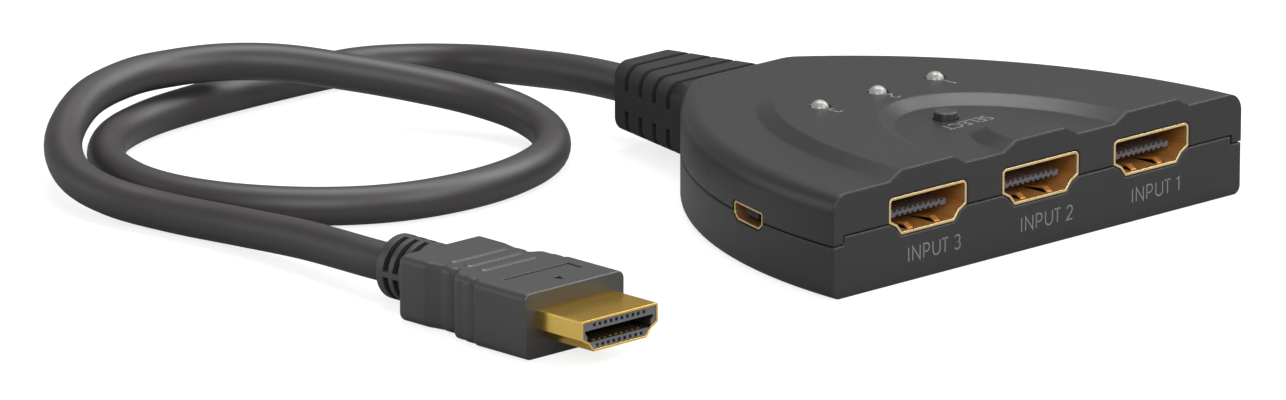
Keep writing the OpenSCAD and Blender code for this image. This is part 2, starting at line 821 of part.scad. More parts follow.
module case_screws() {
  color([0.55, 0.55, 0.57])
    for (p = posts)
      translate([p[0], p[1], seat_depth])
        difference() {
          union() {
            translate([0, 0, -screw_head_h])
              cylinder(d = screw_head_d, h = screw_head_h);
            cylinder(d = screw_d, h = screw_l);
          }
          for (a = [0, 90])
            rotate([0, 0, a])
              translate([0, 0, -screw_head_h])
                cube([cross_l, cross_w, screw_head_h], center = true);
        }
}

module board_plan() {
  t = wall + board_clear;
  intersection() {
    translate([side_cx, arc_y])
      circle(side_r - t);
    translate([-side_cx, arc_y])
      circle(side_r - t);
    translate([-far, front_y + t])
      square([2 * far, board_d - t]);
  }
}

module main_board() {
  color([0.1, 0.32, 0.18])
    translate([0, 0, board_z])
      linear_extrude(board_t)
        difference() {
          board_plan();
          for (p = posts)
            translate(p)
              circle(d = screw_d + 2 * screw_clear);
          for (i = [-1, 0, 1], s = [-1, 1])
            translate([i * lamp_pitch + s * lead_pitch / 2, front_y + lamp_y])
              circle(d = 2 * lead_w);
          for (sx = [-1, 1], sy = [-1, 1])
            translate(button_at + [sx * switch_leg_pitch / 2, sy * (switch_w + switch_leg_t) / 2])
              circle(d = switch_hole_d);
          for (i = [-1, 0, 1], s = [-1, 1], y = socket_leg_y)
            translate([i * socket_pitch + s * (socket_w - socket_sheet) / 2, front_y + y])
              square([socket_sheet + 2 * socket_leg_clear, socket_leg_w + 2 * socket_leg_clear],
                center = true);
        }
}

module switch_chip() {
  color([0.08, 0.08, 0.09])
    translate([chip_x, front_y + chip_y, board_top + chip_gap + chip_t / 2])
      cube([chip_w, chip_w, chip_t], center = true);
}

module switch_chip_legs() {
  color([0.75, 0.75, 0.77])
    translate([chip_x, front_y + chip_y, board_top])
      for (a = [0 : 90 : 270], i = [0 : chip_legs - 1])
        rotate([0, 0, a])
          translate([(i - (chip_legs - 1) / 2) * chip_w / (chip_legs + 2), chip_w / 2, 0])
            across_x(-chip_leg_w / 2, chip_leg_w)
              chip_leg(chip_leg_l, chip_leg_t, chip_gap + chip_t / 2);
}

// Side view of a bent leg that leaves a chip at height h
module chip_leg(l, t, h) {
  bend = l / 3;
  foot = l * 0.6;
  polygon([
    [0, h - t], [bend, h - t], [foot, 0], [l, 0], [l, t], [foot + t / 2, t], [bend + t / 2, h], [0, h]
  ]);
}

module regulator_chip() {
  color([0.1, 0.1, 0.11])
    translate([-regulator_x, front_y + regulator_y, board_top])
      union() {
        translate([-regulator_w / 2, -regulator_d / 2, chip_gap])
          cube([regulator_w, regulator_d, regulator_t]);
        for (i = [-1, 0, 1])
          translate([i * regulator_w / 3 - regulator_leg_w / 2, -regulator_d / 2 - regulator_leg_l, 0])
            cube([regulator_leg_w, regulator_leg_l + eps, regulator_leg_t]);
        translate([-regulator_w / 4, regulator_d / 2 - eps, 0])
          cube([regulator_w / 2, regulator_leg_l + eps, regulator_leg_t]);
      }
}

// Small block with metal ends, lying along X
module chip_part(size) {
  translate([0, 0, size[2] / 2])
    cube(size, center = true);
  for (s = [-1, 1])
    translate([s * ((size[0] - end_l) / 2 + end_out), 0, (size[2] + end_out) / 2])
      cube([end_l, size[1] + 2 * end_out, size[2] + end_out], center = true);
}

module chip_row(size, count, pitch) {
  for (i = [0 : count - 1])
    translate([(i - (count - 1) / 2) * pitch, 0, 0])
      chip_part(size);
}

module chip_capacitors() {
  color([0.72, 0.6, 0.42])
    translate([cap_in - body_w / 2, front_y + cap_y, board_top])
      chip_row(cap_size, caps, cap_pitch);
}

module chip_resistors() {
  color([0.15, 0.15, 0.16])
    translate([0, front_y + res_y, board_top])
      chip_row(res_size, resistors, res_pitch);
}

module lamp(i) {
  color([0.92, 0.93, 0.92])
    translate([i * lamp_pitch, front_y + lamp_y, 0])
      rotate_extrude() {
        translate([0, lamp_base])
          square([lamp_foot_d / 2, lamp_foot_h]);
        translate([0, lamp_base])
          square([lamp_d / 2, lamp_top - lamp_d / 2 - lamp_base]);
        translate([0, lamp_top - lamp_d / 2])
          intersection() {
            circle(lamp_d / 2);
            square(lamp_d);
          }
      }
}

module lamp_1() {
  lamp(1);
}

module lamp_2() {
  lamp(0);
}

module lamp_3() {
  lamp(-1);
}

module lamp_leads() {
  color([0.75, 0.75, 0.77])
    for (i = [-1, 0, 1], s = [-1, 1])
      translate([i * lamp_pitch + s * lead_pitch / 2, front_y + lamp_y, (lamp_base + board_under) / 2])
        cube([lead_w, lead_w, lamp_base - board_under], center = true);
}

module button_switch_base() {
  color([0.1, 0.1, 0.11])
    translate([button_at[0], button_at[1], board_top])
      difference() {
        translate([-switch_w / 2, -switch_w / 2, 0])
          cube([switch_w, switch_w, switch_h]);
        translate([0, 0, well_floor])
          cylinder(d = well_d, h = switch_h);
      }
}

module button_switch_plate() {
  color([0.75, 0.75, 0.76])
    translate([button_at[0], button_at[1], switch_top])
      difference() {
        translate([-switch_w / 2, -switch_w / 2, 0])
          cube([switch_w, switch_w, plate_t]);
        translate([0, 0, -eps])
          cylinder(d = button_d + 2 * button_clear, h = plate_t + 2 * eps);
      }
}

module button_switch_dome() {
  a = well_d / 2 - dome_clear;
  r = (a * a + dome_rise * dome_rise) / (2 * dome_rise);
  color([0.78, 0.78, 0.8])
    translate([button_at[0], button_at[1], well_z])
      rotate_extrude()
        intersection() {
          translate([0, dome_rise - r])
            difference() {
              circle(r);
              circle(r - dome_t);
            }
          square([a + 1, dome_rise + 1]);
        }
}

module button_switch_legs() {
  color([0.75, 0.75, 0.77])
    translate([button_at[0], button_at[1], 0])
      for (sx = [-1, 1], sy = [-1, 1])
        translate([sx * switch_leg_pitch / 2, sy * (switch_w + switch_leg_t) / 2, board_under])
          linear_extrude(board_top + switch_h / 3 - board_under)
            square([switch_leg_w, switch_leg_t], center = true);
}

module select_button() {
  color([0.06, 0.06, 0.065])
    translate([button_at[0], button_at[1], 0])
      rotate_extrude() {
        translate([0, stem_end])
          square([button_d / 2 - stem_step, button_top - stem_end]);
        translate([0, collar_top - collar_t])
          square([well_d / 2 - collar_clear, collar_t]);
        translate([0, collar_top - collar_t])
          square([button_d / 2, button_top - button_edge_r - collar_top + collar_t]);
        translate([0, button_top - 2 * button_edge_r])
          square([button_d / 2 - button_edge_r, 2 * button_edge_r]);
        translate([button_d / 2 - button_edge_r, button_top - button_edge_r])
          circle(button_edge_r);
      }
}

// Video socket pieces about the middle of the mouth

module video_blade(z, clear) {
  t = contact_t / 2 + clear;
  polygon([
    [contact_start - clear, z - t], [contact_riser - clear, z - t], [contact_riser - clear, socket_board],
    [contact_end, socket_board], [contact_end, socket_board + contact_t + clear],
    [contact_riser + contact_t + clear, socket_board + contact_t + clear],
    [contact_riser + contact_t + clear, z + t], [contact_start - clear, z + t]
  ]);
}

module video_blades(clear) {
  w = contact_w + 2 * clear;
  for (x = upper_row)
    across_x(x - w / 2, w)
      video_blade(tongue_top - contact_sink, clear);
  for (x = lower_row)
    across_x(x - w / 2, w)
      video_blade(tongue_low + contact_sink, clear);
}

// Open grooves that hold the contacts on both faces of the tongue
module video_grooves() {
  l = socket_d - socket_block_d - socket_tongue_y;
  for (x = upper_row)
    translate([x - groove_w / 2, socket_tongue_y - eps, tongue_top - groove_d])
      cube([groove_w, l + eps, groove_d + eps]);
  for (x = lower_row)
    translate([x - groove_w / 2, socket_tongue_y - eps, tongue_low - eps])
      cube([groove_w, l + eps, groove_d + eps]);
}

module spring_finger() {
  root = finger_tip + finger_l;
  crest = finger_tip + finger_l / 6;
  polygon([
    [root, 0], [root, finger_t], [crest, finger_rise], [finger_tip, finger_rise - 2 * finger_t],
    [finger_tip, finger_rise - 3 * finger_t], [crest, finger_rise - finger_t]
  ]);
}

module video_shell() {
  floor_z = -socket_h / 2;
  difference() {
    union() {
      along_y(0, socket_d)
        polygon(video_outline(0));
      for (s = [-1, 1], y = socket_leg_y)
        translate([s * (socket_w - socket_sheet) / 2, y, (board_under - socket_z) / 2])
          cube([socket_sheet, socket_leg_w, socket_z - board_under], center = true);
    }
    along_y(-eps, socket_d + 2 * eps)
      polygon(video_outline(socket_sheet));
    for (s = [-1, 1])
      translate([s * finger_x - finger_w / 2 - finger_room, finger_tip - 0.1, floor_z - eps])
        cube([finger_w + 2 * finger_room, finger_l - 0.1, socket_sheet + 2 * eps]);
  }
  for (s = [-1, 1])
    across_x(s * finger_x - finger_w / 2, finger_w)
      translate([0, floor_z + (socket_sheet - finger_t) / 2])
        spring_finger();
}

module video_tongue() {
  difference() {
    union() {
      translate([0, 0, -socket_tongue_drop])
        along_y(socket_tongue_y, socket_d - socket_tongue_y)
          rounded_rect(socket_tongue_w, socket_tongue_t, socket_tongue_r, $fn = 16);
      along_y(socket_d - socket_block_d, socket_block_d + eps)
        polygon(video_outline(socket_sheet + contact_clear));
      translate([-socket_w / 2 + socket_foot_in, socket_d, socket_board])
        cube([socket_w - 2 * socket_foot_in, socket_foot_d, socket_h / 2 - socket_board]);
    }
    video_blades(contact_clear);
    video_grooves();
  }
}

module socket_place(i) {
  translate([i * socket_pitch, front_y, socket_z])
    children();
}

module socket_1_shell() {
  color([0.83, 0.66, 0.35])
    socket_place(1)
      video_shell();
}

module socket_2_shell() {
  color([0.83, 0.66, 0.35])
    socket_place(0)
      video_shell();
}

module socket_3_shell() {
  color([0.83, 0.66, 0.35])
    socket_place(-1)
      video_shell();
}

module socket_1_tongue() {
  color([0.4, 0.41, 0.45])
    socket_place(1)
      video_tongue();
}

module socket_2_tongue() {
  color([0.4, 0.41, 0.45])
    socket_place(0)
      video_tongue();
}

module socket_3_tongue() {
  color([0.4, 0.41, 0.45])
    socket_place(-1)
      video_tongue();
}

module socket_1_contacts() {
  color([0.8, 0.6, 0.3])
    socket_place(1)
      video_blades(0);
}

module socket_2_contacts() {
  color([0.8, 0.6, 0.3])
    socket_place(0)
      video_blades(0);
}

module socket_3_contacts() {
  color([0.8, 0.6, 0.3])
    socket_place(-1)
      video_blades(0);
}

// Power socket pieces about the middle of the mouth

module power_blades(clear) {
  w = contact_w + 2 * clear;
  t = contact_t / 2 + clear;
  z = -power_tongue_low;
  low = -power_h / 2 - power_rise;
  start = power_tongue_y + contact_back;
  riser = power_d + power_foot_d / 4;
  end = power_d + power_foot_d + contact_foot_l;
  for (i = [-2 : 2])
    across_x(i * power_pitch - w / 2, w)
      polygon([
        [start - clear, z - t], [riser - clear, z - t], [riser - clear, low], [end, low],
        [end, low + contact_t + clear], [riser + contact_t + clear, low + contact_t + clear],
        [riser + contact_t + clear, z + t], [start - clear, z + t]
      ]);
}

module power_socket_shell() {
  color([0.83, 0.66, 0.35])
    at_power()
      union() {
        along_y(0, power_d)
          difference() {
            polygon(power_outline());
            polygon(inset(power_outline(), power_sheet));
          }
        for (s = [-1, 1])
          translate([s * power_leg_x - power_leg_w / 2, power_leg_y, -power_h / 2 - power_rise])
            cube([power_leg_w, power_leg_l, power_rise + power_sheet / 2]);
      }
}

module power_socket_tongue() {
  color([0.06, 0.06, 0.07])
    at_power()
      difference() {
        union() {
          translate([-power_tongue_w / 2, power_tongue_y, -power_tongue_low])
            cube([power_tongue_w, power_d - power_tongue_y, power_tongue_t]);
          along_y(power_d - power_block_d, power_block_d + power_foot_d / 2)
            polygon(inset(power_outline(), power_sheet + contact_clear));
          translate([-power_w / 2 + power_foot_in, power_d, -power_h / 2 - power_rise])
            cube([power_w - 2 * power_foot_in, power_foot_d, power_h + power_rise - power_foot_in]);
        }
        power_blades(contact_clear);
      }
}

module power_socket_contacts() {
  color([0.8, 0.6, 0.3])
    at_power()
      power_blades(0);
}

// Strain relief of the lead at the housing

module relief_taper(d) {
  hull() {
    along_y(neck_end, 0.01)
      rounded_rect(relief_w - 2 * d, relief_h - 2 * d, relief_r - d, $fn = 32);
    along_y(relief_end - 0.01, 0.01)
      rounded_rect(relief_end_w - 2 * d, relief_h - 2 * d, relief_r - d, $fn = 32);
  }
}

module case_strain_relief() {
  color([0.2, 0.2, 0.21])
    translate([0, 0, relief_z])
      union() {
        along_y(flange_front, flange_t)
          square([flange_w, flange_h], center = true);
        along_y(flange_back - 0.2, neck_end - flange_back + 0.4)
          rounded_rect(relief_w, relief_h, relief_r);
        difference() {
          relief_taper(0);
          difference() {
            for (i = [0 : slots - 1], s = [-1, 1])
              translate([0, first_slot - i * slot_pitch, s * (far + slot_web) / 2])
                cube([far, slot_w, far], center = true);
            relief_taper(slot_depth);
          }
        }
      }
}

module wire_pairs() {
  color([0.7, 0.3, 0.25])
    for (i = [-2 : 2])
      translate([i * wire_pitch, 0, board_top + wire_d / 2])
        along_y(front_y + board_d - wire_on_board, flange_front - front_y - board_d + wire_on_board)
          circle(d = wire_d, $fn = 24);
}

// Lead

function at_end(i) = max(0, min(len(route) - 1, i));
function mid_point(i) =
  (-route[at_end(i - 1)] + 9 * route[i] + 9 * route[i + 1] - route[at_end(i + 2)]) / 16;
function lead_path() = concat(
  [for (i = [0 : len(route) - 2], k = [0, 1]) k == 0 ? route[i] : mid_point(i)],
  [route[len(route) - 1]]);
function unit(v) = v / norm(v);
function heading(p, i) =
  i == 0 || i == len(p) - 1 ? [0, i == 0 ? 1 : -1, 0] : unit(p[i + 1] - p[i - 1]);
function lead_ring(p, i) =
  let (t = heading(p, i), s = unit(cross(t, [0, 0, 1])), u = cross(s, t))
  [for (k = [0 : lead_sides - 1])
    let (a = 360 * (k + 0.5) / lead_sides) p[i] + lead_d / 2 * (cos(a) * s + sin(a) * u)];
function gap_to_self(p) = min([
  for (i = [0 : len(p) - 1], j = [0 : len(p) - 1]) if (j > i + 8) norm(p[i] - p[j])]) - lead_d;

module lead() {
  p = lead_path();
  n = lead_sides;
  m = len(p);
  echo(least_gap_of_lead_to_itself = gap_to_self(p));
  color([0.22, 0.21, 0.21])
    polyhedron(
      points = [for (i = [0 : m - 1], q = lead_ring(p, i)) q],
      faces = concat(
        [[for (k = [n - 1 : -1 : 0]) k]],
        [[for (k = [0 : n - 1]) (m - 1) * n + k]],
        [for (i = [0 : m - 2], k = [0 : n - 1])
          [i * n + k, i * n + (k + 1) % n, (i + 1) * n + (k + 1) % n, (i + 1) * n + k]]));
}

// Plug pieces about the middle of the front face of the plug body

module at_plug() {
  translate([plug_x, plug_y, plug_z])
    children();
}

// One edge of the plug body in plan, from the front block to the rounded rear corner
function plug_half() =
  let (
    grip_x = plug_ridge_w / 2 - plug_ridge_out,
    collar_x = plug_rear_w / 2 - plug_collar_in,
    corner = [plug_rear_w / 2 - plug_edge_r, plug_l - plug_edge_r])
  concat([
    [plug_w / 2, 0], [plug_w / 2, plug_front_l], [grip_x, plug_front_l + plug_slope_l / 2],
    [grip_x, plug_waist_y - plug_slope_l], [plug_waist_w / 2, plug_waist_y],
    [plug_waist_w / 2, plug_waist_y + plug_waist_l], [collar_x, plug_collar_y],
    [collar_x, plug_collar_y + plug_collar_l],
    [plug_rear_w / 2, plug_collar_y + plug_collar_l + plug_slope_l / 2]],
    quarter(corner, plug_edge_r, 0));

module plug_plan() {
  h = plug_half();
  n = len(h);
  polygon(concat(h, [for (i = [n - 1 : -1 : 0]) [-h[i][0], h[i][1]]]));
  first = plug_front_l + plug_slope_l / 2 + plug_ridge_r;
  last = plug_waist_y - plug_slope_l / 2 - plug_ridge_r;
  collar_x = plug_rear_w / 2 - plug_collar_in + plug_ridge_out / 2;
  for (s = [-1, 1]) {
    for (y = [first, last])
      translate([s * (plug_ridge_w / 2 - plug_ridge_r), y])
        circle(plug_ridge_r);
    translate([s * (collar_x - plug_ridge_r), plug_collar_y + plug_slope_l])
      circle(plug_ridge_r);
  }
}

// Rounded length of the plug body
module plug_block(w, from, to) {
  along_y(from, to - from)
    rounded_rect(w, plug_h, plug_edge_r);
}

function plug_outline(d) = video_outline(socket_sheet + plug_fit + d);

module plug_body() {
  top = plug_h / 2;
  color([0.2, 0.2, 0.21])
    at_plug()
      difference() {
        union() {
          intersection() {
            translate([0, 0, -plug_h])
              linear_extrude(2 * plug_h)
                plug_plan();
            union() {
              plug_block(plug_w, -eps, plug_front_l);
              plug_block(plug_ridge_w, plug_front_l - eps, plug_waist_y);
              plug_block(plug_rear_w, plug_waist_y - eps, plug_l + eps);
            }
          }
          for (y = bars)
            translate([0, plug_front_l + y, top - eps])
              linear_extrude(bar_h + eps)
                rounded_rect(bar_l, bar_w, bar_w / 2 - 0.01);
        }
        along_y(-1, plug_root_l + 1)
          polygon(plug_outline(-plug_root_clear));
        translate([0, 0, top - mark_depth])
          linear_extrude(1) {
            translate([-mark_l / 2, mark_y - mark_w])
              square([mark_l, mark_w]);
            translate([mark_l / 2 - mark_w, mark_y - mark_up])
              square([mark_w, mark_up]);
            translate([0, arrow_y])
              polygon([[0, 0], [arrow_w / 2, arrow_w], [-arrow_w / 2, arrow_w]]);
          }
      }
}

module plug_shell() {
  color([0.83, 0.66, 0.35])
    at_plug()
      along_y(-plug_tip_l, plug_tip_l + plug_root_l)
        difference() {
          polygon(plug_outline(0));
          polygon(plug_outline(plug_sheet));
        }
}

module plug_slot_blades(clear) {
  w = contact_w + 2 * clear;
  y = -plug_tip_l + plug_contact_in;
  l = plug_tip_l + plug_root_l - 2 * plug_contact_in;
  for (x = upper_row)
    translate([x - w / 2, y, insulator_slot_top - contact_t / 2 - clear])
      cube([w, l, contact_t + 2 * clear]);
  for (x = lower_row)
    translate([x - w / 2, y, -insulator_slot_low - contact_t / 2 - clear])
      cube([w, l, contact_t + 2 * clear]);
}

// Outline of the slot that takes the tongue of a socket
function insulator_slot() =
  let (x = insulator_slot_w / 2, step = insulator_slot_top / 2)
  [[-x + step, -insulator_slot_low], [x - step, -insulator_slot_low], [x - step, 0], [x, step],
   [x, insulator_slot_top], [-x, insulator_slot_top], [-x, step], [-x + step, 0]];

module plug_insulator() {
  y0 = -plug_tip_l + insulator_in;
  color([0.4, 0.4, 0.44])
    at_plug()
      difference() {
        along_y(y0, plug_tip_l + plug_root_l - insulator_in)
          polygon(plug_outline(plug_sheet + insulator_clear));
        along_y(y0 - 1, plug_tip_l)
          polygon(insulator_slot());
        for (x = upper_row)
          translate([x, y0 - 1, insulator_slot_top + 1.2 * well_w])
            along_y(0, 2 + well_w)
              square(well_w, center = true);
        for (x = lower_row)
          translate([x, y0 - 1, -insulator_slot_low - 1.1 * well_w])
            along_y(0, 2 + well_w)
              square(well_w, center = true);
        plug_slot_blades(contact_clear);
      }
}

module plug_contacts() {
  color([0.8, 0.6, 0.3])
    at_plug()
      plug_slot_blades(0);
}

module plug_strain_relief() {
  color([0.2, 0.2, 0.21])
    translate([plug_x, plug_back, plug_z])
      difference() {
        along_y(0, ring_l)
          circle(d = ring_d);
        for (i = [0 : 2])
          difference() {
            along_y(ring_slot_in + i * ring_pitch, ring_slot_w)
              difference() {
                circle(d = ring_d + 2);
                circle(d = ring_d - 2 * ring_slot_depth);
              }
            translate([-far / 2, 0, -ring_web / 2])
              cube([far, ring_l, ring_web]);
          }
      }
}

bottom_cover();
top_cover();
case_screws();
main_board();
switch_chip();
switch_chip_legs();
regulator_chip();
chip_capacitors();
chip_resistors();
lamp_1();
lamp_2();
lamp_3();
lamp_leads();
button_switch_base();
button_switch_plate();
button_switch_dome();
button_switch_legs();
select_button();
socket_1_shell();
socket_2_shell();
socket_3_shell();
socket_1_tongue();
socket_2_tongue();
socket_3_tongue();
socket_1_contacts();
socket_2_contacts();
socket_3_contacts();
power_socket_shell();
power_socket_tongue();
power_socket_contacts();
case_strain_relief();
wire_pairs();
lead();
plug_body();
plug_shell();
plug_insulator();
plug_contacts();
plug_strain_relief();
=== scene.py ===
import json
import math

import bmesh
import bpy
from bpy.props import FloatProperty, FloatVectorProperty, IntProperty, PointerProperty
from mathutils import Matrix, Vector


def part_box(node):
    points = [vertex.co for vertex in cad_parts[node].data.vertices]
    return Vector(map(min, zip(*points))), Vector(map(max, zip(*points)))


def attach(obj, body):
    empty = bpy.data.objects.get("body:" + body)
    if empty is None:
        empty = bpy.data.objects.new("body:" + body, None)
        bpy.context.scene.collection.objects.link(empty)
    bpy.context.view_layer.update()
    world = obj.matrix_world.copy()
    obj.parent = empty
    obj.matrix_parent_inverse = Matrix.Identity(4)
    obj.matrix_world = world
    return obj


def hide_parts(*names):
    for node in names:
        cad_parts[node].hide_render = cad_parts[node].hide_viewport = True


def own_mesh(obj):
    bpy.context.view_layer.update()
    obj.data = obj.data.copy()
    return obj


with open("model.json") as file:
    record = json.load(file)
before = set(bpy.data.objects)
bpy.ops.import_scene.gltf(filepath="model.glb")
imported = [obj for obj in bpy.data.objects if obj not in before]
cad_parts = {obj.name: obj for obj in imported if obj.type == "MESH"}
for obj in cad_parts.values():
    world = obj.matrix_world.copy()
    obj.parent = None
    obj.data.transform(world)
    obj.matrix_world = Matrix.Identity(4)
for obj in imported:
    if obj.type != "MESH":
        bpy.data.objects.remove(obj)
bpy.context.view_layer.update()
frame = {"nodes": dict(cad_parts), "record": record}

bl_info = {
    "name": "Video switch box",
    "version": (1, 0, 0),
    "blender": (4, 5, 0),
    "location": "View3D > Sidebar > Switch box",
    "description": "Dresses a video switch box, its lead and its plug over the packed solids",
    "category": "Object",
}

MM = 0.001
ACROSS, BACK, UP = Vector((1, 0, 0)), Vector((0, 1, 0)), Vector((0, 0, 1))

# Places that the print shares with the solids, in metres
FACE_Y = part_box("top_cover")[0][1]
ROOF_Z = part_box("top_cover")[1][2]
HOLLOW_Z = ROOF_Z - 1.3 * MM
SOCKET_PITCH = 21.9 * MM
LAMP_PITCH = 11.3 * MM
SOCKETS = {1: SOCKET_PITCH, 2: 0.0, 3: -SOCKET_PITCH}
LAMPS = {1: LAMP_PITCH, 2: 0.0, 3: -LAMP_PITCH}

# The lead's route from the strain relief to the plug, in millimetres
ROUTE = [
    (0, 47.766, 7.55), (0, 55.95, 7.5), (0.5, 63.95, 6.9), (2, 72.95, 5.6), (3.8, 82.95, 4),
    (2.8, 89.75, 3.2), (-0.8, 95.55, 2.8), (-6.3, 99.25, 2.75), (-12.6, 100.55, 2.75),
    (-25, 100.75, 2.75), (-38, 100.15, 2.75), (-50, 98.15, 2.75), (-60.5, 93.35, 2.75),
    (-69, 84.65, 2.75), (-73.3, 74.15, 2.75), (-73.6, 64.45, 2.75), (-70, 54.45, 2.75),
    (-63, 45.65, 2.75), (-54, 40.25, 2.75), (-43, 38.45, 2.75), (-32, 39.95, 2.75),
    (-22, 44.65, 2.75), (-15, 52.15, 3.1), (-12.5, 60.65, 4), (-14, 68.95, 5.1),
    (-18.5, 76.95, 6.4), (-24, 84.95, 7.6), (-29.4, 91.95, 8.5), (-35.8, 97.15, 8.8),
    (-43.5, 99.85, 8.8), (-52, 99.85, 8.8), (-62.5, 96.75, 8), (-73.4, 88.95, 6),
    (-80.4, 78.95, 4.3), (-82.4, 68.95, 3.3), (-81, 57.95, 2.8), (-79.6, 44.95, 3.1),
    (-79.5, 31.95, 3.8), (-81, 17.35, 4.5), (-81, 11.35, 4.575),
]
ROUTE_STEPS = 6


# Settings

class HousingSettings(bpy.types.PropertyGroup):
    colour: FloatVectorProperty(
        name="Housing colour", description="Colour of the moulded case", subtype="COLOR", size=3,
        min=0, max=1, default=(0.018, 0.018, 0.018))
    edge: FloatProperty(
        name="Edge radius", description="Rounding of the lower half's edges", unit="LENGTH",
        default=0.132 * MM, min=0, max=MM)
    grain: FloatProperty(
        name="Grain", description="Size of the grain of the moulding", unit="LENGTH",
        default=0.16 * MM, min=0.02 * MM, max=MM)


class InkSettings(bpy.types.PropertyGroup):
    colour: FloatVectorProperty(
        name="Ink colour", description="Colour of the printed marks", subtype="COLOR", size=3,
        min=0, max=1, default=(0.2, 0.2, 0.2))
    stroke: FloatProperty(
        name="Stroke", description="Width of a printed line", unit="LENGTH",
        default=0.22 * MM, min=0.05 * MM, max=0.5 * MM)


class LeadSettings(bpy.types.PropertyGroup):
    colour: FloatVectorProperty(
        name="Lead colour", description="Colour of the lead's jacket", subtype="COLOR", size=3,
        min=0, max=1, default=(0.026, 0.022, 0.0224))
    diameter: FloatProperty(
        name="Diameter", description="Diameter of the lead", unit="LENGTH",
        default=5.4 * MM, min=3 * MM, max=8 * MM)
    sides: IntProperty(
        name="Sides", description="Faces round the lead", default=32, min=12, max=64)


class GiltSettings(bpy.types.PropertyGroup):
    colour: FloatVectorProperty(
        name="Plating colour", description="Colour of the gold plating", subtype="COLOR", size=3,
        min=0, max=1, default=(1, 0.66, 0.17))
    roughness: FloatProperty(
        name="Roughness", description="Roughness of the gold plating", subtype="FACTOR",
        default=0.24, min=0, max=1)


class StageSettings(bpy.types.PropertyGroup):
    power: FloatProperty(
        name="Soft lights", description="Power of one soft light", unit="POWER",
        default=8.2, min=0, max=500)
    size: FloatProperty(
        name="Light size", description="Width of one soft light", unit="LENGTH",
        default=0.95, min=0.1, max=3)
    world: FloatProperty(
        name="Room light", description="Strength of the light from all round",
        default=0.28, min=0, max=3)
    mirrored: FloatProperty(
        name="Mirrored room", description="Strength of the room in glossy surfaces",
        default=0.3, min=0, max=3)


# Materials

# The part of the noise's range that the finishes use
NOISE_RANGE = (0.3, 0.7)
# Stretch of the noise that draws lines along Y on sheet metal
DRAWN = (1, 0.04, 1)
# Where the painted shade inside a connector starts and where it is full, behind its mouth
SHADE_DEPTH = (0.1 * MM, 0.5 * MM)


def add_node(tree, kind, inputs=None, **settings):
    """A node of that kind, with its settings and the fixed values of its inputs."""
    node = tree.nodes.new(kind)
    for name, value in settings.items():
        setattr(node, name, value)
    for name, value in (inputs or {}).items():
        node.inputs[name].default_value = value
    return node


def link_inputs(tree, node, sources):
    """Links each source to the node's input of that name."""
    for name, source in sources.items():
        tree.links.new(source, node.inputs[name])


def empty_material(name):
    """A material with nothing but its output."""
    material = bpy.data.materials.new(name)
    material.use_nodes = True
    tree = material.node_tree
    tree.nodes.clear()
    return material, tree, add_node(tree, "ShaderNodeOutputMaterial")


def shader(name, levels=None):
    """A material with one principled shader at those levels."""
    material, tree, out = empty_material(name)
    bsdf = add_node(tree, "ShaderNodeBsdfPrincipled", levels)
    tree.links.new(bsdf.outputs["BSDF"], out.inputs["Surface"])
    return material, tree, bsdf


def noise_on(tree, scale, detail, source="Object", stretch=(1, 1, 1)):
    """Noise on the object's own coordinates or its UV map."""
    coord = add_node(tree, "ShaderNodeTexCoord")
    place = add_node(tree, "ShaderNodeMapping", {"Scale": stretch})
    noise = add_node(tree, "ShaderNodeTexNoise", {"Scale": scale, "Detail": detail})
    tree.links.new(coord.outputs[source], place.inputs["Vector"])
    tree.links.new(place.outputs["Vector"], noise.inputs["Vector"])
    return noise.outputs["Fac"]


def shade_between(tree, factor, low, high, ends=NOISE_RANGE):
    """A colour that runs from low to high while the factor runs between the ends."""
    ramp = add_node(tree, "ShaderNodeValToRGB")
    for element, place, colour in zip(ramp.color_ramp.elements, ends, (low, high)):
        element.position = place
        element.color = (*colour, 1)
    tree.links.new(factor, ramp.inputs["Fac"])
    return ramp.outputs["Color"]


def spread(tree, factor, low, high, ends=NOISE_RANGE):
    """A level that runs from low to high while the factor runs between the ends."""
    remap = add_node(tree, "ShaderNodeMapRange", {
        "From Min": ends[0], "From Max": ends[1], "To Min": low, "To Max": high})
    tree.links.new(factor, remap.inputs["Value"])
    return remap.outputs["Result"]


def bump_from(tree, height, strength, distance, ease):
    """Normals with a fine relief, eased over the edges of the piece."""
    eased = add_node(tree, "ShaderNodeBevel", {"Radius": ease}, samples=6)
    bump = add_node(tree, "ShaderNodeBump", {"Strength": strength, "Distance": distance})
    link_inputs(tree, bump, {"Normal": eased.outputs["Normal"], "Height": height})
    return bump.outputs["Normal"]


def tinted(colour, amount):
    """The colour made lighter or darker."""
    return tuple(min(1, c * amount) for c in colour)


def clouded(tree, factor, colour, low, high):
    """The colour with clouds between two tints of it."""
    return shade_between(tree, factor, tinted(colour, low), tinted(colour, high))


def moulded(name, colour, roughness, grain=0.2 * MM, strength=0.25, ease=0.2 * MM, gloss=0.28):
    """Moulded plastic or rubber: a fine eroded grain, slight clouds in the colour."""
    material, tree, bsdf = shader(name, {"Specular IOR Level": gloss})
    cloud = noise_on(tree, 90, 4)
    fine = noise_on(tree, 1 / grain, 2)
    link_inputs(tree, bsdf, {
        "Base Color": clouded(tree, cloud, colour, 0.94, 1.06),
        "Roughness": spread(tree, fine, roughness - 0.05, roughness + 0.05),
        "Normal": bump_from(tree, fine, strength, 0.02 * MM, ease)})
    return material


def draw_lines(tree, bsdf, roughness, stretch, ease):
    """Fine drawn lines in the gloss and in the relief of sheet metal."""
    lines = noise_on(tree, 4000, 3, stretch=stretch)
    link_inputs(tree, bsdf, {
        "Roughness": spread(tree, lines, roughness - 0.02, roughness + 0.03),
        "Normal": bump_from(tree, lines, 0.04, 0.01 * MM, ease)})


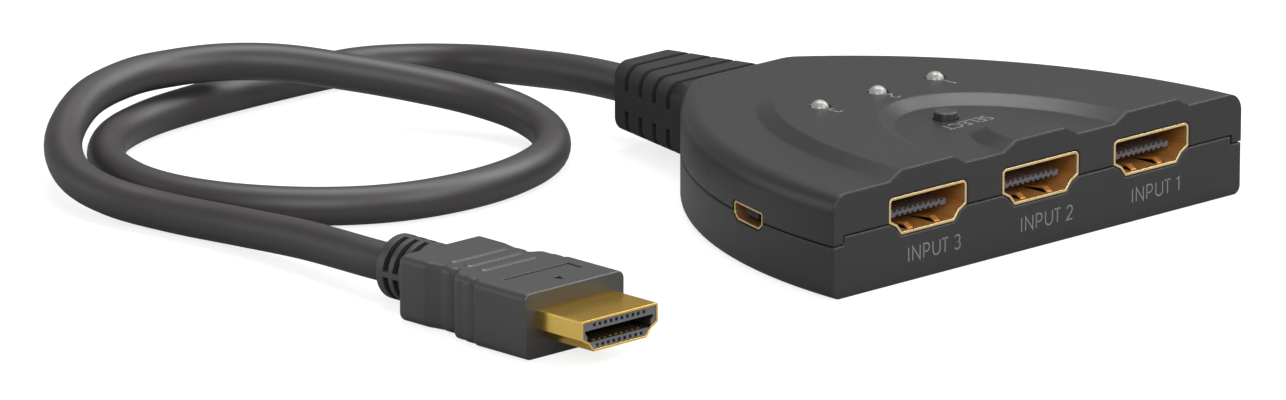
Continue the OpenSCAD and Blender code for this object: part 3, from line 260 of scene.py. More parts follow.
def metal(name, colour, roughness, stretch=(1, 1, 1)):
    """Plated or bare sheet metal: drawn lines, clouds in the tone, less tint at flat angles."""
    glance = [(1 + c / max(colour)) / 2 for c in colour]
    material, tree, bsdf = shader(name, {"Metallic": 1, "Specular Tint": (*glance, 1)})
    cloud = noise_on(tree, 160, 3)
    link_inputs(tree, bsdf, {"Base Color": clouded(tree, cloud, colour, 0.93, 1.05)})
    draw_lines(tree, bsdf, roughness, stretch, 0.05 * MM)
    return material


def lined(name, mouth, rim, inside, roughness, metallic=(1, 0.55)):
    """A connector's sheet or carrier: pale at its mouth, with painted shade that darkens it from
    there inwards, where it also turns duller.
    """
    material, tree, bsdf = shader(name)
    mount = next(m for m in frame["record"]["mounts"] if m["name"] == mouth)
    inward = -Vector(mount["axis"])
    start = inward.dot(Vector(mount["pos_m"]))
    coord = add_node(tree, "ShaderNodeTexCoord")
    along = add_node(tree, "ShaderNodeVectorMath", {1: inward}, operation="DOT_PRODUCT")
    tree.links.new(coord.outputs["Object"], along.inputs[0])
    ends = [start + depth for depth in SHADE_DEPTH]
    depth = spread(tree, along.outputs["Value"], 0, 1, ends)
    link_inputs(tree, bsdf, {
        # Painted shade: the colour runs from the rim's tone at the mouth to a darker inside tone
        "Base Color": shade_between(tree, depth, rim, inside, (0, 1)),
        "Metallic": spread(tree, depth, *metallic, (0, 1))})
    draw_lines(tree, bsdf, roughness, DRAWN, 0.1 * MM)
    return material


def jacket(name, colour):
    """Soft jacket of the lead: long faint streaks that follow it and a fine skin."""
    material, tree, bsdf = shader(name, {"Specular IOR Level": 0.7})
    streak = noise_on(tree, 1, 4, source="UV", stretch=(60, 9, 1))
    fine = noise_on(tree, 5200, 2)
    link_inputs(tree, bsdf, {
        "Base Color": clouded(tree, streak, colour, 0.92, 1.08),
        "Roughness": spread(tree, streak, 0.44, 0.5),
        "Normal": bump_from(tree, fine, 0.18, 0.02 * MM, 0.3 * MM)})
    return material


def milky(name):
    """Milky lamp: mostly cloudy and a little clear, with a soft shine."""
    material, tree, bsdf = shader(name, {
        "Transmission Weight": 0.2, "IOR": 1.55, "Coat Weight": 1, "Coat Roughness": 0.3})
    cloud = noise_on(tree, 700, 3)
    link_inputs(tree, bsdf, {
        "Base Color": shade_between(tree, cloud, (0.31, 0.31, 0.29), (0.38, 0.38, 0.355)),
        "Roughness": spread(tree, cloud, 0.26, 0.34)})
    return material


def resist(name):
    """Board: green resist with paler copper tracks under it."""
    material, tree, bsdf = shader(name)
    coord = add_node(tree, "ShaderNodeTexCoord")
    bricks = add_node(tree, "ShaderNodeTexBrick", {
        "Scale": 420, "Mortar Size": 0.04, "Color1": (0.012, 0.1, 0.035, 1),
        "Color2": (0.016, 0.12, 0.045, 1), "Mortar": (0.05, 0.22, 0.08, 1)})
    tree.links.new(coord.outputs["Object"], bricks.inputs["Vector"])
    link_inputs(tree, bsdf, {
        "Base Color": bricks.outputs["Color"],
        "Roughness": spread(tree, noise_on(tree, 800, 3), 0.25, 0.4)})
    return material


FINISHES = {}


def finish_makers(scene):
    """For each finish, a call that makes it from the settings."""
    case, gilt = scene.switch_case, scene.switch_gilt
    lead, ink = scene.switch_lead, scene.switch_ink
    return {
        "case": lambda: moulded(
            "Housing plastic", case.colour, 0.38, case.grain, ease=0.6 * MM, gloss=0.56),
        "relief": lambda: moulded(
            "Moulded relief", tinted(case.colour, 1.85), 0.62, case.grain * 1.2, gloss=0.14),
        "plug": lambda: moulded(
            "Plug moulding", tinted(case.colour, 1.7), 0.42, case.grain * 1.1, gloss=0.8),
        "lead": lambda: jacket("Lead jacket", lead.colour),
        "gilt": lambda: metal("Gold plating", gilt.colour, gilt.roughness, DRAWN),
        "contact": lambda: metal(
            "Contact plating", tinted(gilt.colour, 0.85), 0.35, (1, 0.1, 1)),
        # The inside colours of the socket, carrier and inlet are painted shade, darker than their
        # mouths
        "socket": lambda: lined(
            "Socket plating", "video_in_1", (0.95, 0.72, 0.36), (0.6, 0.265, 0.072), 0.28),
        "plug_carrier": lambda: lined(
            "Plug carrier", "video_out", (0.13, 0.13, 0.145), (0.014, 0.014, 0.015), 0.5, (0, 0)),
        "inlet": lambda: lined(
            "Inlet plating", "power_in", (0.85, 0.6, 0.3), (0.35, 0.17, 0.06), 0.3),
        "insulator": lambda: moulded("Contact carrier", (0.12, 0.12, 0.14), 0.5),
        "button": lambda: moulded(
            "Button black", (0.026, 0.026, 0.027), 0.4, strength=0.1, gloss=0.72),
        "black": lambda: moulded("Black carrier", (0.014, 0.014, 0.015), 0.45),
        "ink": lambda: moulded("Print", ink.colour, 0.6, 0.1 * MM, strength=0.1),
        "lamp": lambda: milky("Milky lamp"),
        "tin": lambda: metal("Tinned metal", (0.6, 0.6, 0.6), 0.3),
        "steel": lambda: metal("Screw steel", (0.42, 0.42, 0.43), 0.32),
        "board": lambda: resist("Board resist"),
        "ceramic": lambda: moulded("Capacitor ceramic", (0.36, 0.25, 0.15), 0.4),
        "wire": lambda: moulded("Wire skin", (0.35, 0.05, 0.04), 0.35),
    }


def finish(name):
    """The finish of that name, made when it is first asked for."""
    if name not in FINISHES:
        FINISHES[name] = finish_makers(bpy.context.scene)[name]()
    return FINISHES[name]


# Pieces

# Angles in degrees above which faces stay apart, shading breaks and edges are rounded
FLAT_ANGLE, SHARP_ANGLE, EDGE_ANGLE = 0.1, 32, 24
# A rounding's largest share of the face beside it, and the least width that counts as a face
EDGE_ROOM, LEAST_WIDTH = 0.4, 1e-7


def body_of(node):
    """The body that holds a node."""
    for body, nodes in frame["record"]["behaviour"]["bodies"].items():
        if node in nodes:
            return body
    raise RuntimeError("no body holds " + node)


def in_mm(node):
    """The two corners of a node's box, in millimetres."""
    return [[c / MM for c in corner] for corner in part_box(node)]


def link(name, mesh):
    """An object with that mesh, in the scene."""
    piece = bpy.data.objects.new(name, mesh)
    bpy.context.scene.collection.objects.link(piece)
    return piece


def face_out(work):
    """Turns the faces of a work mesh outwards."""
    bmesh.ops.recalc_face_normals(work, faces=work.faces[:])


def as_piece(name, work):
    """A piece from a work mesh, which is freed."""
    mesh = bpy.data.meshes.new(name)
    work.to_mesh(mesh)
    work.free()
    return link(name, mesh)


def as_plain_mesh(piece):
    """The piece's mesh with its modifiers applied."""
    deps = bpy.context.evaluated_depsgraph_get()
    made = bpy.data.meshes.new_from_object(piece.evaluated_get(deps))
    piece.modifiers.clear()
    piece.data = made
    return made


def coat(mesh, look):
    """Gives a mesh one finish."""
    mesh.materials.clear()
    mesh.materials.append(finish(look))


def paint(node, look):
    """A node that keeps its own solid gets a finish."""
    coat(frame["nodes"][node].data, look)


def take_place(piece, node):
    """Puts a piece in a solid's place."""
    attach(piece, body_of(node))
    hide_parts(node)


def solid_copy(node, merge):
    """The node's triangles, merged, with flat faces made whole."""
    source = frame["nodes"][node]
    work = bmesh.new()
    work.from_mesh(source.data)
    work.transform(source.matrix_world)
    bmesh.ops.remove_doubles(work, verts=work.verts[:], dist=merge)
    bmesh.ops.dissolve_limit(
        work, angle_limit=math.radians(FLAT_ANGLE), use_dissolve_boundaries=False,
        verts=work.verts[:], edges=work.edges[:])
    return work


def free_width(line):
    """Least width of the faces beside an edge, measured square to it from its middle."""
    first, second = (vert.co for vert in line.verts)
    middle = (first + second) / 2
    along = (second - first).normalized()
    least = math.inf
    for face in line.link_faces:
        side = face.normal.cross(along)
        for other in face.edges:
            p, q = (vert.co - middle for vert in other.verts)
            before, after = p.dot(along), q.dot(along)
            if other is line or before * after > 0 or before == after:
                continue
            share = before / (before - after)
            reach = abs(p.dot(side) + (q.dot(side) - p.dot(side)) * share)
            if reach > LEAST_WIDTH:
                least = min(least, reach)
    return least


def weigh_edges(work, edge, limit):
    """Gives each sharp edge the share of the full rounding that its faces have room for."""
    layer = work.edges.layers.float.new("bevel_weight_edge")
    for line in work.edges:
        if line.calc_face_angle(0) > limit:
            line[layer] = min(1, EDGE_ROOM * free_width(line) / edge)


def dress(node, look, name, edge=0.0, sharp=SHARP_ANGLE, limit=EDGE_ANGLE, merge=0.002 * MM):
    """A copy of a solid with even shading, and rounded edges if asked for, which stands for it."""
    work = solid_copy(node, merge)
    if edge:
        weigh_edges(work, edge, math.radians(limit))
    piece = as_piece(name, work)
    if edge:
        bevel = piece.modifiers.new("Edge", "BEVEL")
        bevel.width = edge
        bevel.segments = 3
        bevel.limit_method = "WEIGHT"
        bevel.use_clamp_overlap = False
        as_plain_mesh(piece)
    return stand_for(piece, node, look, sharp)


def stand_for(piece, node, look, sharp=SHARP_ANGLE):
    """Shades a piece evenly, finishes it and puts it in a solid's place."""
    piece.data.shade_smooth()
    piece.data.set_sharp_from_angle(angle=math.radians(sharp))
    even = piece.modifiers.new("Even", "WEIGHTED_NORMAL")
    even.keep_sharp = True
    even.weight = 80
    as_plain_mesh(piece)
    coat(piece.data, look)
    take_place(piece, node)
    return piece


# Lettering

def arc(cx, cy, rx, ry, start, end, steps=14):
    """Points on an ellipse from one angle to another, in degrees."""
    turns = [math.radians(start + (end - start) * i / steps) for i in range(steps + 1)]
    return [(cx + rx * math.cos(turn), cy + ry * math.sin(turn)) for turn in turns]


# Width and strokes of each sign for a height of 1
SIGNS = {
    " ": (-0.18, []),
    "I": (0.04, [[(0, 0), (0, 1)]]),
    "N": (0.72, [[(0, 0), (0, 1), (0.72, 0), (0.72, 1)]]),
    "P": (0.56, [
        [(0, 0), (0, 1), (0.28, 1), *arc(0.28, 0.71, 0.28, 0.29, 90, -90)[1:], (0, 0.42)]]),
    "U": (0.7, [[(0, 1), (0, 0.35), *arc(0.35, 0.35, 0.35, 0.35, 180, 360)[1:], (0.7, 1)]]),
    "T": (0.6, [[(0, 1), (0.6, 1)], [(0.3, 1), (0.3, 0)]]),
    "S": (0.54, [
        [*arc(0.27, 0.755, 0.25, 0.245, 35, 260), *arc(0.27, 0.255, 0.27, 0.255, 85, -145)]]),
    "E": (0.5, [[(0.5, 1), (0, 1), (0, 0), (0.5, 0)], [(0, 0.52), (0.45, 0.52)]]),
    "L": (0.48, [[(0, 1), (0, 0), (0.48, 0)]]),
    "C": (0.72, [arc(0.48, 0.5, 0.48, 0.5, 45, 315, 20)]),
    "1": (0.24, [[(0, 0.86), (0.24, 1), (0.24, 0)]]),
    "2": (0.56, [[*arc(0.28, 0.71, 0.27, 0.29, 165, -35), (0, 0), (0.58, 0)]]),
    "3": (0.56, [
        [*arc(0.27, 0.745, 0.25, 0.255, 150, -90), *arc(0.27, 0.255, 0.29, 0.255, 90, -150)[1:]]]),
}
# Changes of the space between two signs
KERNS = {"UT": -0.16, "T ": 0.1}
# Least cosine that a stroke's half width is divided by, so that tight corners don't reach far
CORNER_LIMIT = 0.35
PRINT_LIFT = 0.012 * MM

# Front print: height of its letters, space between them, its start left of a socket's middle
# and its base line
FRONT_H, FRONT_GAP, FRONT_START, FRONT_Z = 1.95 * MM, 0.36, 3.7 * MM, 2.75 * MM
# Roof print: heights, space between signs, share of the front's stroke, places behind the face
DIGIT_H, WORD_H, ROOF_GAP, ROOF_BOLD = 2 * MM, 1.9 * MM, 0.25, 1.2
DIGITS_BACK, WORD_BACK, WORD_X = 29.4 * MM, 15.5 * MM, 0.45 * MM


def ribbon(work, line, width, place):
    """A flat stroke of that width along a line, set in space by place."""
    points = [Vector(p) for p in line]
    ways = [(b - a).normalized() for a, b in zip(points, points[1:])]
    left, right = [], []
    for i, point in enumerate(points):
        before, after = ways[max(0, i - 1)], ways[min(i, len(ways) - 1)]
        along = (before + after).normalized()
        side = Vector((-along.y, along.x))
        reach = width / 2 / max(CORNER_LIMIT, Vector((-before.y, before.x)).dot(side))
        left.append(work.verts.new(place(point + side * reach)))
        right.append(work.verts.new(place(point - side * reach)))
    for i in range(len(ways)):
        work.faces.new((right[i], right[i + 1], left[i + 1], left[i]))


def write_word(work, word, height, origin, across, up, stroke, gap, centred=False):
    """Adds a word's strokes, from origin along across, with its letters standing along up."""
    lift = across.cross(up).normalized() * PRINT_LIFT
    total = sum(SIGNS[sign][0] for sign in word) + gap * (len(word) - 1)
    pen = -total / 2 if centred else 0.0
    for sign, following in zip(word, word[1:] + " "):
        width, lines = SIGNS[sign]

        def place(p, start=pen):
            return origin + across * ((start + p.x) * height) + up * (p.y * height) + lift

        for line in lines:
            ribbon(work, line, stroke / height, place)
        pen += width + gap + KERNS.get(sign + following, 0)


def print_piece(name, work):
    """A printed piece on the housing."""
    face_out(work)
    piece = as_piece(name, work)
    coat(piece.data, "ink")
    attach(piece, "housing")


# Rows of contacts

# How many contacts a row of the plug has, and its height
PLUG_ROWS = ((10, 5.325 * MM), (9, 3.625 * MM))
PLUG_PITCH, BLADE_W, BLADE_HALF_H = MM, 0.3 * MM, 0.1 * MM


def row_tree():
    """Geometry nodes that repeat one contact along X and give the row its finish."""
    tree = bpy.data.node_groups.new("Contact row", "GeometryNodeTree")
    tree.interface.new_socket("Geometry", in_out="OUTPUT", socket_type="NodeSocketGeometry")
    inputs = {
        "Contact": "Object", "Count": "Int", "Pitch": "Float", "Start": "Vector",
        "Finish": "Material"}
    for name, kind in inputs.items():
        tree.interface.new_socket(name, in_out="INPUT", socket_type="NodeSocket" + kind)
    given = add_node(tree, "NodeGroupInput")
    result = add_node(tree, "NodeGroupOutput")
    line = add_node(tree, "GeometryNodeMeshLine")
    step = add_node(tree, "ShaderNodeCombineXYZ")
    contact = add_node(tree, "GeometryNodeObjectInfo")
    rows = add_node(tree, "GeometryNodeInstanceOnPoints")
    real = add_node(tree, "GeometryNodeRealizeInstances")
    skinned = add_node(tree, "GeometryNodeSetMaterial")
    link_inputs(tree, step, {"X": given.outputs["Pitch"]})
    link_inputs(tree, line, {
        "Count": given.outputs["Count"], "Start Location": given.outputs["Start"],
        "Offset": step.outputs["Vector"]})
    link_inputs(tree, contact, {"Object": given.outputs["Contact"]})
    link_inputs(tree, rows, {
        "Points": line.outputs["Mesh"], "Instance": contact.outputs["Geometry"]})
    link_inputs(tree, real, {"Geometry": rows.outputs["Instances"]})
    link_inputs(tree, skinned, {
        "Geometry": real.outputs["Geometry"], "Material": given.outputs["Finish"]})
    link_inputs(tree, result, {"Geometry": skinned.outputs["Geometry"]})
    return tree


def blade(name, outline, width):
    """One contact: an outline in the YZ plane, given width along X."""
    work = bmesh.new()
    near, far = (
        [work.verts.new((x, y, z)) for y, z in outline] for x in (-width / 2, width / 2))
    work.faces.new(near)
    work.faces.new(far[::-1])
    n = len(outline)
    for i in range(n):
        k = (i + 1) % n
        work.faces.new((near[i], far[i], far[k], near[k]))
    face_out(work)
    return as_piece(name, work)


def contact_row(tree, contact, count, pitch, start, look):
    """A mesh of one row of contacts."""
    holder = link("row", bpy.data.meshes.new("row"))
    mod = holder.modifiers.new("Row", "NODES")
    mod.node_group = tree
    values = {
        "Contact": contact, "Count": count, "Pitch": pitch, "Start": start,
        "Finish": finish(look)}
    for item in tree.interface.items_tree:
        if item.in_out == "INPUT":
            mod[item.identifier] = values[item.name]
    bpy.context.view_layer.update()
    made = as_plain_mesh(holder)
    bpy.data.objects.remove(holder)
    return made


def join_rows(name, meshes, node, look):
    """One piece from the meshes of its rows, in a solid's place."""
    work = bmesh.new()
    for mesh in meshes:
        work.from_mesh(mesh)
    piece = as_piece(name, work)
    for face in piece.data.polygons:
        face.material_index = 0
    coat(piece.data, look)
    take_place(piece, node)
    return piece


def plug_contacts():
    """The two rows of contacts in the plug."""
    low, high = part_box("plug_contacts")
    middle = (low[0] + high[0]) / 2
    tree = row_tree()
    rows = []
    for count, z in PLUG_ROWS:
        bottom, top = z - BLADE_HALF_H, z + BLADE_HALF_H
        outline = [(low[1], bottom), (high[1], bottom), (high[1], top), (low[1], top)]
        contact = blade("plug_blade", outline, BLADE_W)
        start = (middle - (count - 1) / 2 * PLUG_PITCH, 0, 0)
        rows.append(contact_row(tree, contact, count, PLUG_PITCH, start, "contact"))
        bpy.data.objects.remove(contact)
    return join_rows("plug_contact_rows", rows, "plug_contacts", "contact")


# Lead

def smooth_route(points, steps):
    """Points on one smooth curve through the route."""
    pts = [Vector(p) * MM for p in points]
    last = len(pts) - 1
    made = []
    for i in range(last):
        a, b, c, d = pts[max(0, i - 1)], pts[i], pts[i + 1], pts[min(last, i + 2)]
        for k in range(steps):
            t = k / steps
            made.append(0.5 * (
                2 * b + (c - a) * t + (2 * a - 5 * b + 4 * c - d) * t * t
                + (3 * b - a - 3 * c + d) * t ** 3))
    made.append(pts[last])
    return made


def tube(name, path, radius, sides, look):
    """A round tube along a path that starts along +Y and ends along -Y, with its ends closed.

    Its UV map holds the length along it and the turn round it.
    """
    work = bmesh.new()
    uv = work.loops.layers.uv.new("UVMap")
    rings, run = [], [0.0]
    for i, point in enumerate(path):
        if i:
            run.append(run[-1] + (point - path[i - 1]).length)
        if i == 0:
            along = BACK
        elif i == len(path) - 1:
            along = -BACK
        else:
            along = (path[i + 1] - path[i - 1]).normalized()
        side = along.cross(UP).normalized()
        up = side.cross(along)
        turns = [2 * math.pi * k / sides for k in range(sides)]
        rings.append([
            work.verts.new(point + radius * (math.cos(turn) * side + math.sin(turn) * up))
            for turn in turns])
    for i in range(len(rings) - 1):
        for k in range(sides):
            m = (k + 1) % sides
            face = work.faces.new((rings[i][k], rings[i][m], rings[i + 1][m], rings[i + 1][k]))
            face.smooth = True
            marks = ((i, k), (i, k + 1), (i + 1, k + 1), (i + 1, k))
            for loop, (a, b) in zip(face.loops, marks):
                loop[uv].uv = (run[a], b / sides)
    work.faces.new(rings[0][::-1])
    work.faces.new(rings[-1])
    face_out(work)
    piece = as_piece(name, work)
    coat(piece.data, look)
    return piece, run[-1]


# Plug, in millimetres

# Half width of the moulding at places behind its front
PLUG_SIDE = [
    (0, 9.1), (10, 9.1), (10.35, 8.4), (10.8, 8.75), (12.3, 8.75), (12.65, 8.35), (13.05, 8.55),
    (14.4, 8.5), (15.3, 6.95), (15.9, 6.9), (16.5, 7.25), (17.7, 7.25), (18.1, 7.05),
    (20.5, 7.5), (20.8, 7.65), (26.3, 7.65),
]
# Roundings of the moulding's front, its rear and its long edges, and the step between sections
PLUG_FRONT_R, PLUG_REAR_R, PLUG_LONG_R, PLUG_STEP = 0.25, 0.8, 1.15, 0.2
# Raised bars: places behind the front, height, half sizes, corners, and each ring's inset and rise
PLUG_BARS = (12.9, 15.7, 18.7)
BAR_H, BAR_HALF_X, BAR_HALF_Y, BAR_R = 0.2, 5.1, 0.75, 0.74
BAR_RINGS = ((0, -0.3), (0, 0), (0.14, 0.09), (0.3, 0.16), (0.5, BAR_H))
# Outlines cut into the top, from the middle of its front edge: a bent line and an arrow
ENGRAVED = (
    ((-6, 7.2), (5.5, 7.2), (5.5, 4.7), (6, 4.7), (6, 7.7), (-6, 7.7)),
    ((0, 2.2), (0.8, 3.8), (-0.8, 3.8)),
)
ENGRAVED_DEPTH = 0.4
# Slotted relief: radius in the slots, half angle of a web, faces of a slot between two webs,
# and the places along it where rings and slots start
RELIEF_CORE_R, RELIEF_WEB, RELIEF_STEPS = 2.85, 5.0, 14
RELIEF_PLACES = (0, 1.4, 2.5, 3.35, 4.45, 5.3, 6.4)


def side_at(place):
    """Half width of the moulding at one place, between the two listed places round it."""
    for (a, wide), (b, next_wide) in zip(PLUG_SIDE, PLUG_SIDE[1:]):
        if place <= b:
            return wide + (next_wide - wide) * max(0, place - a) / (b - a)
    return PLUG_SIDE[-1][1]


def eased_side(place, reach=0.3):
    """Half width with the corners of the list rounded off."""
    near = [side_at(place + reach * k / 4) for k in range(-4, 5)]
    return sum(near) / len(near)


def rounded_section(half_x, half_z, radius, steps=6):
    """Points round a rectangle with round corners."""
    made = []
    for turn, x, z in ((0, 1, 1), (90, -1, 1), (180, -1, -1), (270, 1, -1)):
        cx, cz = x * (half_x - radius), z * (half_z - radius)
        made += arc(cx, cz, radius, radius, turn, turn + 90, steps)
    return made


def skin(work, rings):
    """Closes rings of points, given in millimetres, into one body."""
    made = [[work.verts.new(Vector(p) * MM) for p in ring] for ring in rings]
    n = len(made[0])
    for a, b in zip(made, made[1:]):
        for k in range(n):
            work.faces.new((a[k], a[(k + 1) % n], b[(k + 1) % n], b[k]))
    work.faces.new(made[0][::-1])
    work.faces.new(made[-1])


def plug_moulding(low, high):
    """The moulding as one flowing body in the box of its solid, without its bars."""
    cx, front = (low[0] + high[0]) / 2, low[1]
    half_z = (high[2] - low[2] - BAR_H) / 2
    cz, length = low[2] + half_z, high[1] - low[1]
    straight = length - PLUG_FRONT_R - PLUG_REAR_R
    count = round(straight / PLUG_STEP)
    # Each section's place behind the front and its inset
    stations = [
        *arc(PLUG_FRONT_R, PLUG_FRONT_R, PLUG_FRONT_R, PLUG_FRONT_R, 180, 270, 4),
        *((PLUG_FRONT_R + straight * k / count, 0) for k in range(1, count)),
        *arc(length - PLUG_REAR_R, PLUG_REAR_R, PLUG_REAR_R, PLUG_REAR_R, 270, 360, 6)]
    rings = []
    for place, inset in stations:
        radius = max(PLUG_FRONT_R, PLUG_LONG_R - inset)
        section = rounded_section(eased_side(place) - inset, half_z - inset, radius)
        rings.append([(cx + x, front + place, cz + z) for x, z in section])
    work = bmesh.new()
    skin(work, rings)
    face_out(work)
    return work, (cx, front, cz + half_z)


def raise_bars(piece, middle):
    """Adds the raised bars on the moulding."""
    cx, front, top = middle
    work = bmesh.new()
    for place in PLUG_BARS:
        rings = []
        for inset, z in BAR_RINGS:
            outline = rounded_section(BAR_HALF_X - inset, BAR_HALF_Y - inset, BAR_R - inset)
            rings.append([(cx + x, front + place + y, top + z) for x, y in outline])
        skin(work, rings)
    face_out(work)
    work.from_mesh(piece.data)
    work.to_mesh(piece.data)
    work.free()


def engrave(piece, middle):
    """Cuts the arrow and the bent line into the top of the moulding."""
    cx, front, top = middle
    work = bmesh.new()
    for outline in ENGRAVED:
        skin(work, [
            [(cx + x, front + y, top + z) for x, y in outline] for z in (-ENGRAVED_DEPTH, 1)])
    face_out(work)
    cutter = as_piece("engraving", work)
    cut = piece.modifiers.new("Engraving", "BOOLEAN")
    cut.operation = "DIFFERENCE"
    cut.solver = "EXACT"
    cut.object = cutter
    bpy.context.view_layer.update()
    as_plain_mesh(piece)
    bpy.data.objects.remove(cutter)


def slotted_rings(low, high):
    """The strain relief at the plug: a round body whose three slots stop at four webs."""
    radius = (high[0] - low[0]) / 2
    cx, cz = (low[0] + high[0]) / 2, (low[2] + high[2]) / 2
    start, length = low[1], high[1] - low[1]
    places = [*RELIEF_PLACES, length]
    slot = 90 - 2 * RELIEF_WEB
    turns = []
    for quarter in (0, 90, 180, 270):
        turns.append(quarter - RELIEF_WEB)
        turns += [quarter + RELIEF_WEB + slot * k / RELIEF_STEPS for k in range(RELIEF_STEPS)]
    n, last = len(turns), len(places) - 1
    corners = {}
    work = bmesh.new()

    def corner(turn, place, r):
        key = (turn % n, place, r)
        if key not in corners:
            t = math.radians(turns[turn % n])
            corners[key] = work.verts.new(
                Vector((cx + r * math.cos(t), start + places[place], cz + r * math.sin(t))) * MM)
        return corners[key]

    def quad(*marks):
        work.faces.new([corner(*mark) for mark in marks])

    def reach(turn, place):
        in_slot = place % 2 and turn % n % (RELIEF_STEPS + 1)
        return RELIEF_CORE_R if in_slot else radius

    for k in range(n):
        for i in range(last):
            r, further, beside = reach(k, i), reach(k, i + 1), reach(k + 1, i)
            quad((k, i, r), (k + 1, i, r), (k + 1, i + 1, r), (k, i + 1, r))
            if i + 1 < last and further != r:
                quad((k, i + 1, r), (k + 1, i + 1, r), (k + 1, i + 1, further), (k, i + 1, further))
            if beside != r:
                quad((k + 1, i, r), (k + 1, i, beside), (k + 1, i + 1, beside), (k + 1, i + 1, r))
    for end in (0, last):
        work.faces.new([corner(k, end, radius) for k in range(n)])
    face_out(work)
    return work


# Stage

# Soft lights round the object: turn from +X and height in degrees, share of the power
SOFT_LIGHTS = {
    "Front left": (220, 31, 1.05), "Front right": (286, 33, 0.95), "Right": (347, 41, 1.25),
    "Top": (45, 72, 1.3), "Back left": (128, 10, 0.25),
}
LIGHT_AIM, LIGHT_DISTANCE = Vector((-0.03, 0.02, 0)), 1.35
# Floor: half its side, how far it lies under the object, its grey, its share of the mirrored
# room, and how bright it is to the camera
FLOOR_HALF, FLOOR_SINK = 4, 0.05 * MM
FLOOR_GREY, FLOOR_MIRRORED, FLOOR_SHOWN = 0.3, 0.3, 0.8
# Camera of the photograph
CAMERA_PLACE = Vector((-1.03743, -1.02849, 0.39790))
CAMERA_AIM = Vector((-0.03798, 0.00902, 0.00609))
CAMERA_SENSOR, CAMERA_LENS = 36, 305.54


def ray_level(tree, light, mirrored, shown):
    """Strength as light, in what metal and glass mirror, and before the camera."""
    path = add_node(tree, "ShaderNodeLightPath")
    gloss = add_node(tree, "ShaderNodeMath", operation="MAXIMUM")
    first = add_node(tree, "ShaderNodeMapRange", {"To Min": light, "To Max": mirrored})
    second = add_node(tree, "ShaderNodeMapRange", {"To Max": shown})
    link_inputs(tree, gloss, {
        0: path.outputs["Is Glossy Ray"], 1: path.outputs["Is Transmission Ray"]})
    link_inputs(tree, first, {"Value": gloss.outputs["Value"]})
    link_inputs(tree, second, {
        "To Min": first.outputs["Result"], "Value": path.outputs["Is Camera Ray"]})
    return second.outputs["Result"]


def floor_finish(mirrored):
    """Matt grey that takes the shadow, lifted to white before the camera."""
    material, tree, out = empty_material("Pale floor")
    matt = add_node(tree, "ShaderNodeBsdfDiffuse", {
        "Color": (FLOOR_GREY, FLOOR_GREY, FLOOR_GREY, 1)})
    glow = add_node(tree, "ShaderNodeEmission")
    both = add_node(tree, "ShaderNodeAddShader")
    level = ray_level(tree, 0, FLOOR_MIRRORED * mirrored, FLOOR_SHOWN)
    link_inputs(tree, glow, {"Strength": level})
    link_inputs(tree, both, {0: matt.outputs["BSDF"], 1: glow.outputs["Emission"]})
    link_inputs(tree, out, {"Surface": both.outputs["Shader"]})
    return material


def add_floor(mirrored):
    """The floor, just under the object."""
    work = bmesh.new()
    bmesh.ops.create_grid(work, x_segments=1, y_segments=1, size=FLOOR_HALF)
    floor = as_piece("floor", work)
    floor.location = (0, 0, -FLOOR_SINK)
    floor.data.materials.append(floor_finish(mirrored))


def add_light(scene, name, power, size, turn, height):
    """A soft round light that looks at the middle of the object."""
    data = bpy.data.lights.new(name, "AREA")
    data.energy = power
    data.shape = "DISK"
    data.size = size
    lamp = bpy.data.objects.new(name, data)
    scene.collection.objects.link(lamp)
    t, h = math.radians(turn), math.radians(height)
    out = Vector((math.cos(t) * math.cos(h), math.sin(t) * math.cos(h), math.sin(h)))
    lamp.location = LIGHT_AIM + LIGHT_DISTANCE * out
    lamp.rotation_euler = (-out).to_track_quat("-Z", "Y").to_euler()


def white_room(scene, strength, mirrored):
    """White to the camera, with its own level in glossy surfaces and as light."""
    world = bpy.data.worlds.new("White room")
    scene.world = world
    world.use_nodes = True
    tree = world.node_tree
    tree.nodes.clear()
    out = add_node(tree, "ShaderNodeOutputWorld")
    sky = add_node(tree, "ShaderNodeBackground", {"Color": (1, 1, 1, 1)})
    link_inputs(tree, sky, {"Strength": ray_level(tree, strength, mirrored, 1)})
    link_inputs(tree, out, {"Surface": sky.outputs["Background"]})


# Operators

class SWITCHBOX_OT_camera(bpy.types.Operator):
    """Sets the camera at the angle of the photograph"""
    bl_idname = "switchbox.camera"
    bl_label = "Camera"

    def execute(self, context):
        data = bpy.data.cameras.new("Camera")
        data.sensor_fit = "HORIZONTAL"
        data.sensor_width = CAMERA_SENSOR
        data.lens = CAMERA_LENS
        data.clip_start = 0.1
        data.clip_end = 20
        camera = bpy.data.objects.new("Camera", data)
        context.scene.collection.objects.link(camera)
        camera.location = CAMERA_PLACE
        aim = CAMERA_AIM - CAMERA_PLACE
        camera.rotation_euler = aim.to_track_quat("-Z", "Y").to_euler()
        context.scene.camera = camera
        return {"FINISHED"}


class SWITCHBOX_OT_lead(bpy.types.Operator):
    """Makes the lead with its strain reliefs and its plug"""
    bl_idname = "switchbox.lead"
    bl_label = "Lead and plug"

    def execute(self, context):
        size = context.scene.switch_lead
        path = smooth_route(ROUTE, ROUTE_STEPS)
        lead, length = tube("output_lead", path, size.diameter / 2, size.sides, "lead")
        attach(lead, "housing")
        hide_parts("lead")
        relief = dress("case_strain_relief", "relief", "lead_relief", merge=0.02 * MM)
        work, middle = plug_moulding(*in_mm("plug_body"))
        body = as_piece("plug_moulding", work)
        engrave(body, middle)
        raise_bars(body, middle)
        stand_for(body, "plug_body", "plug")
        rings = as_piece("plug_relief", slotted_rings(*in_mm("plug_strain_relief")))
        stand_for(rings, "plug_strain_relief", "plug")
        shell = dress("plug_shell", "gilt", "plug_sheath", edge=0.06 * MM)
        carrier = dress("plug_insulator", "plug_carrier", "plug_carrier")
        contacts = plug_contacts()
        return {"FINISHED"}


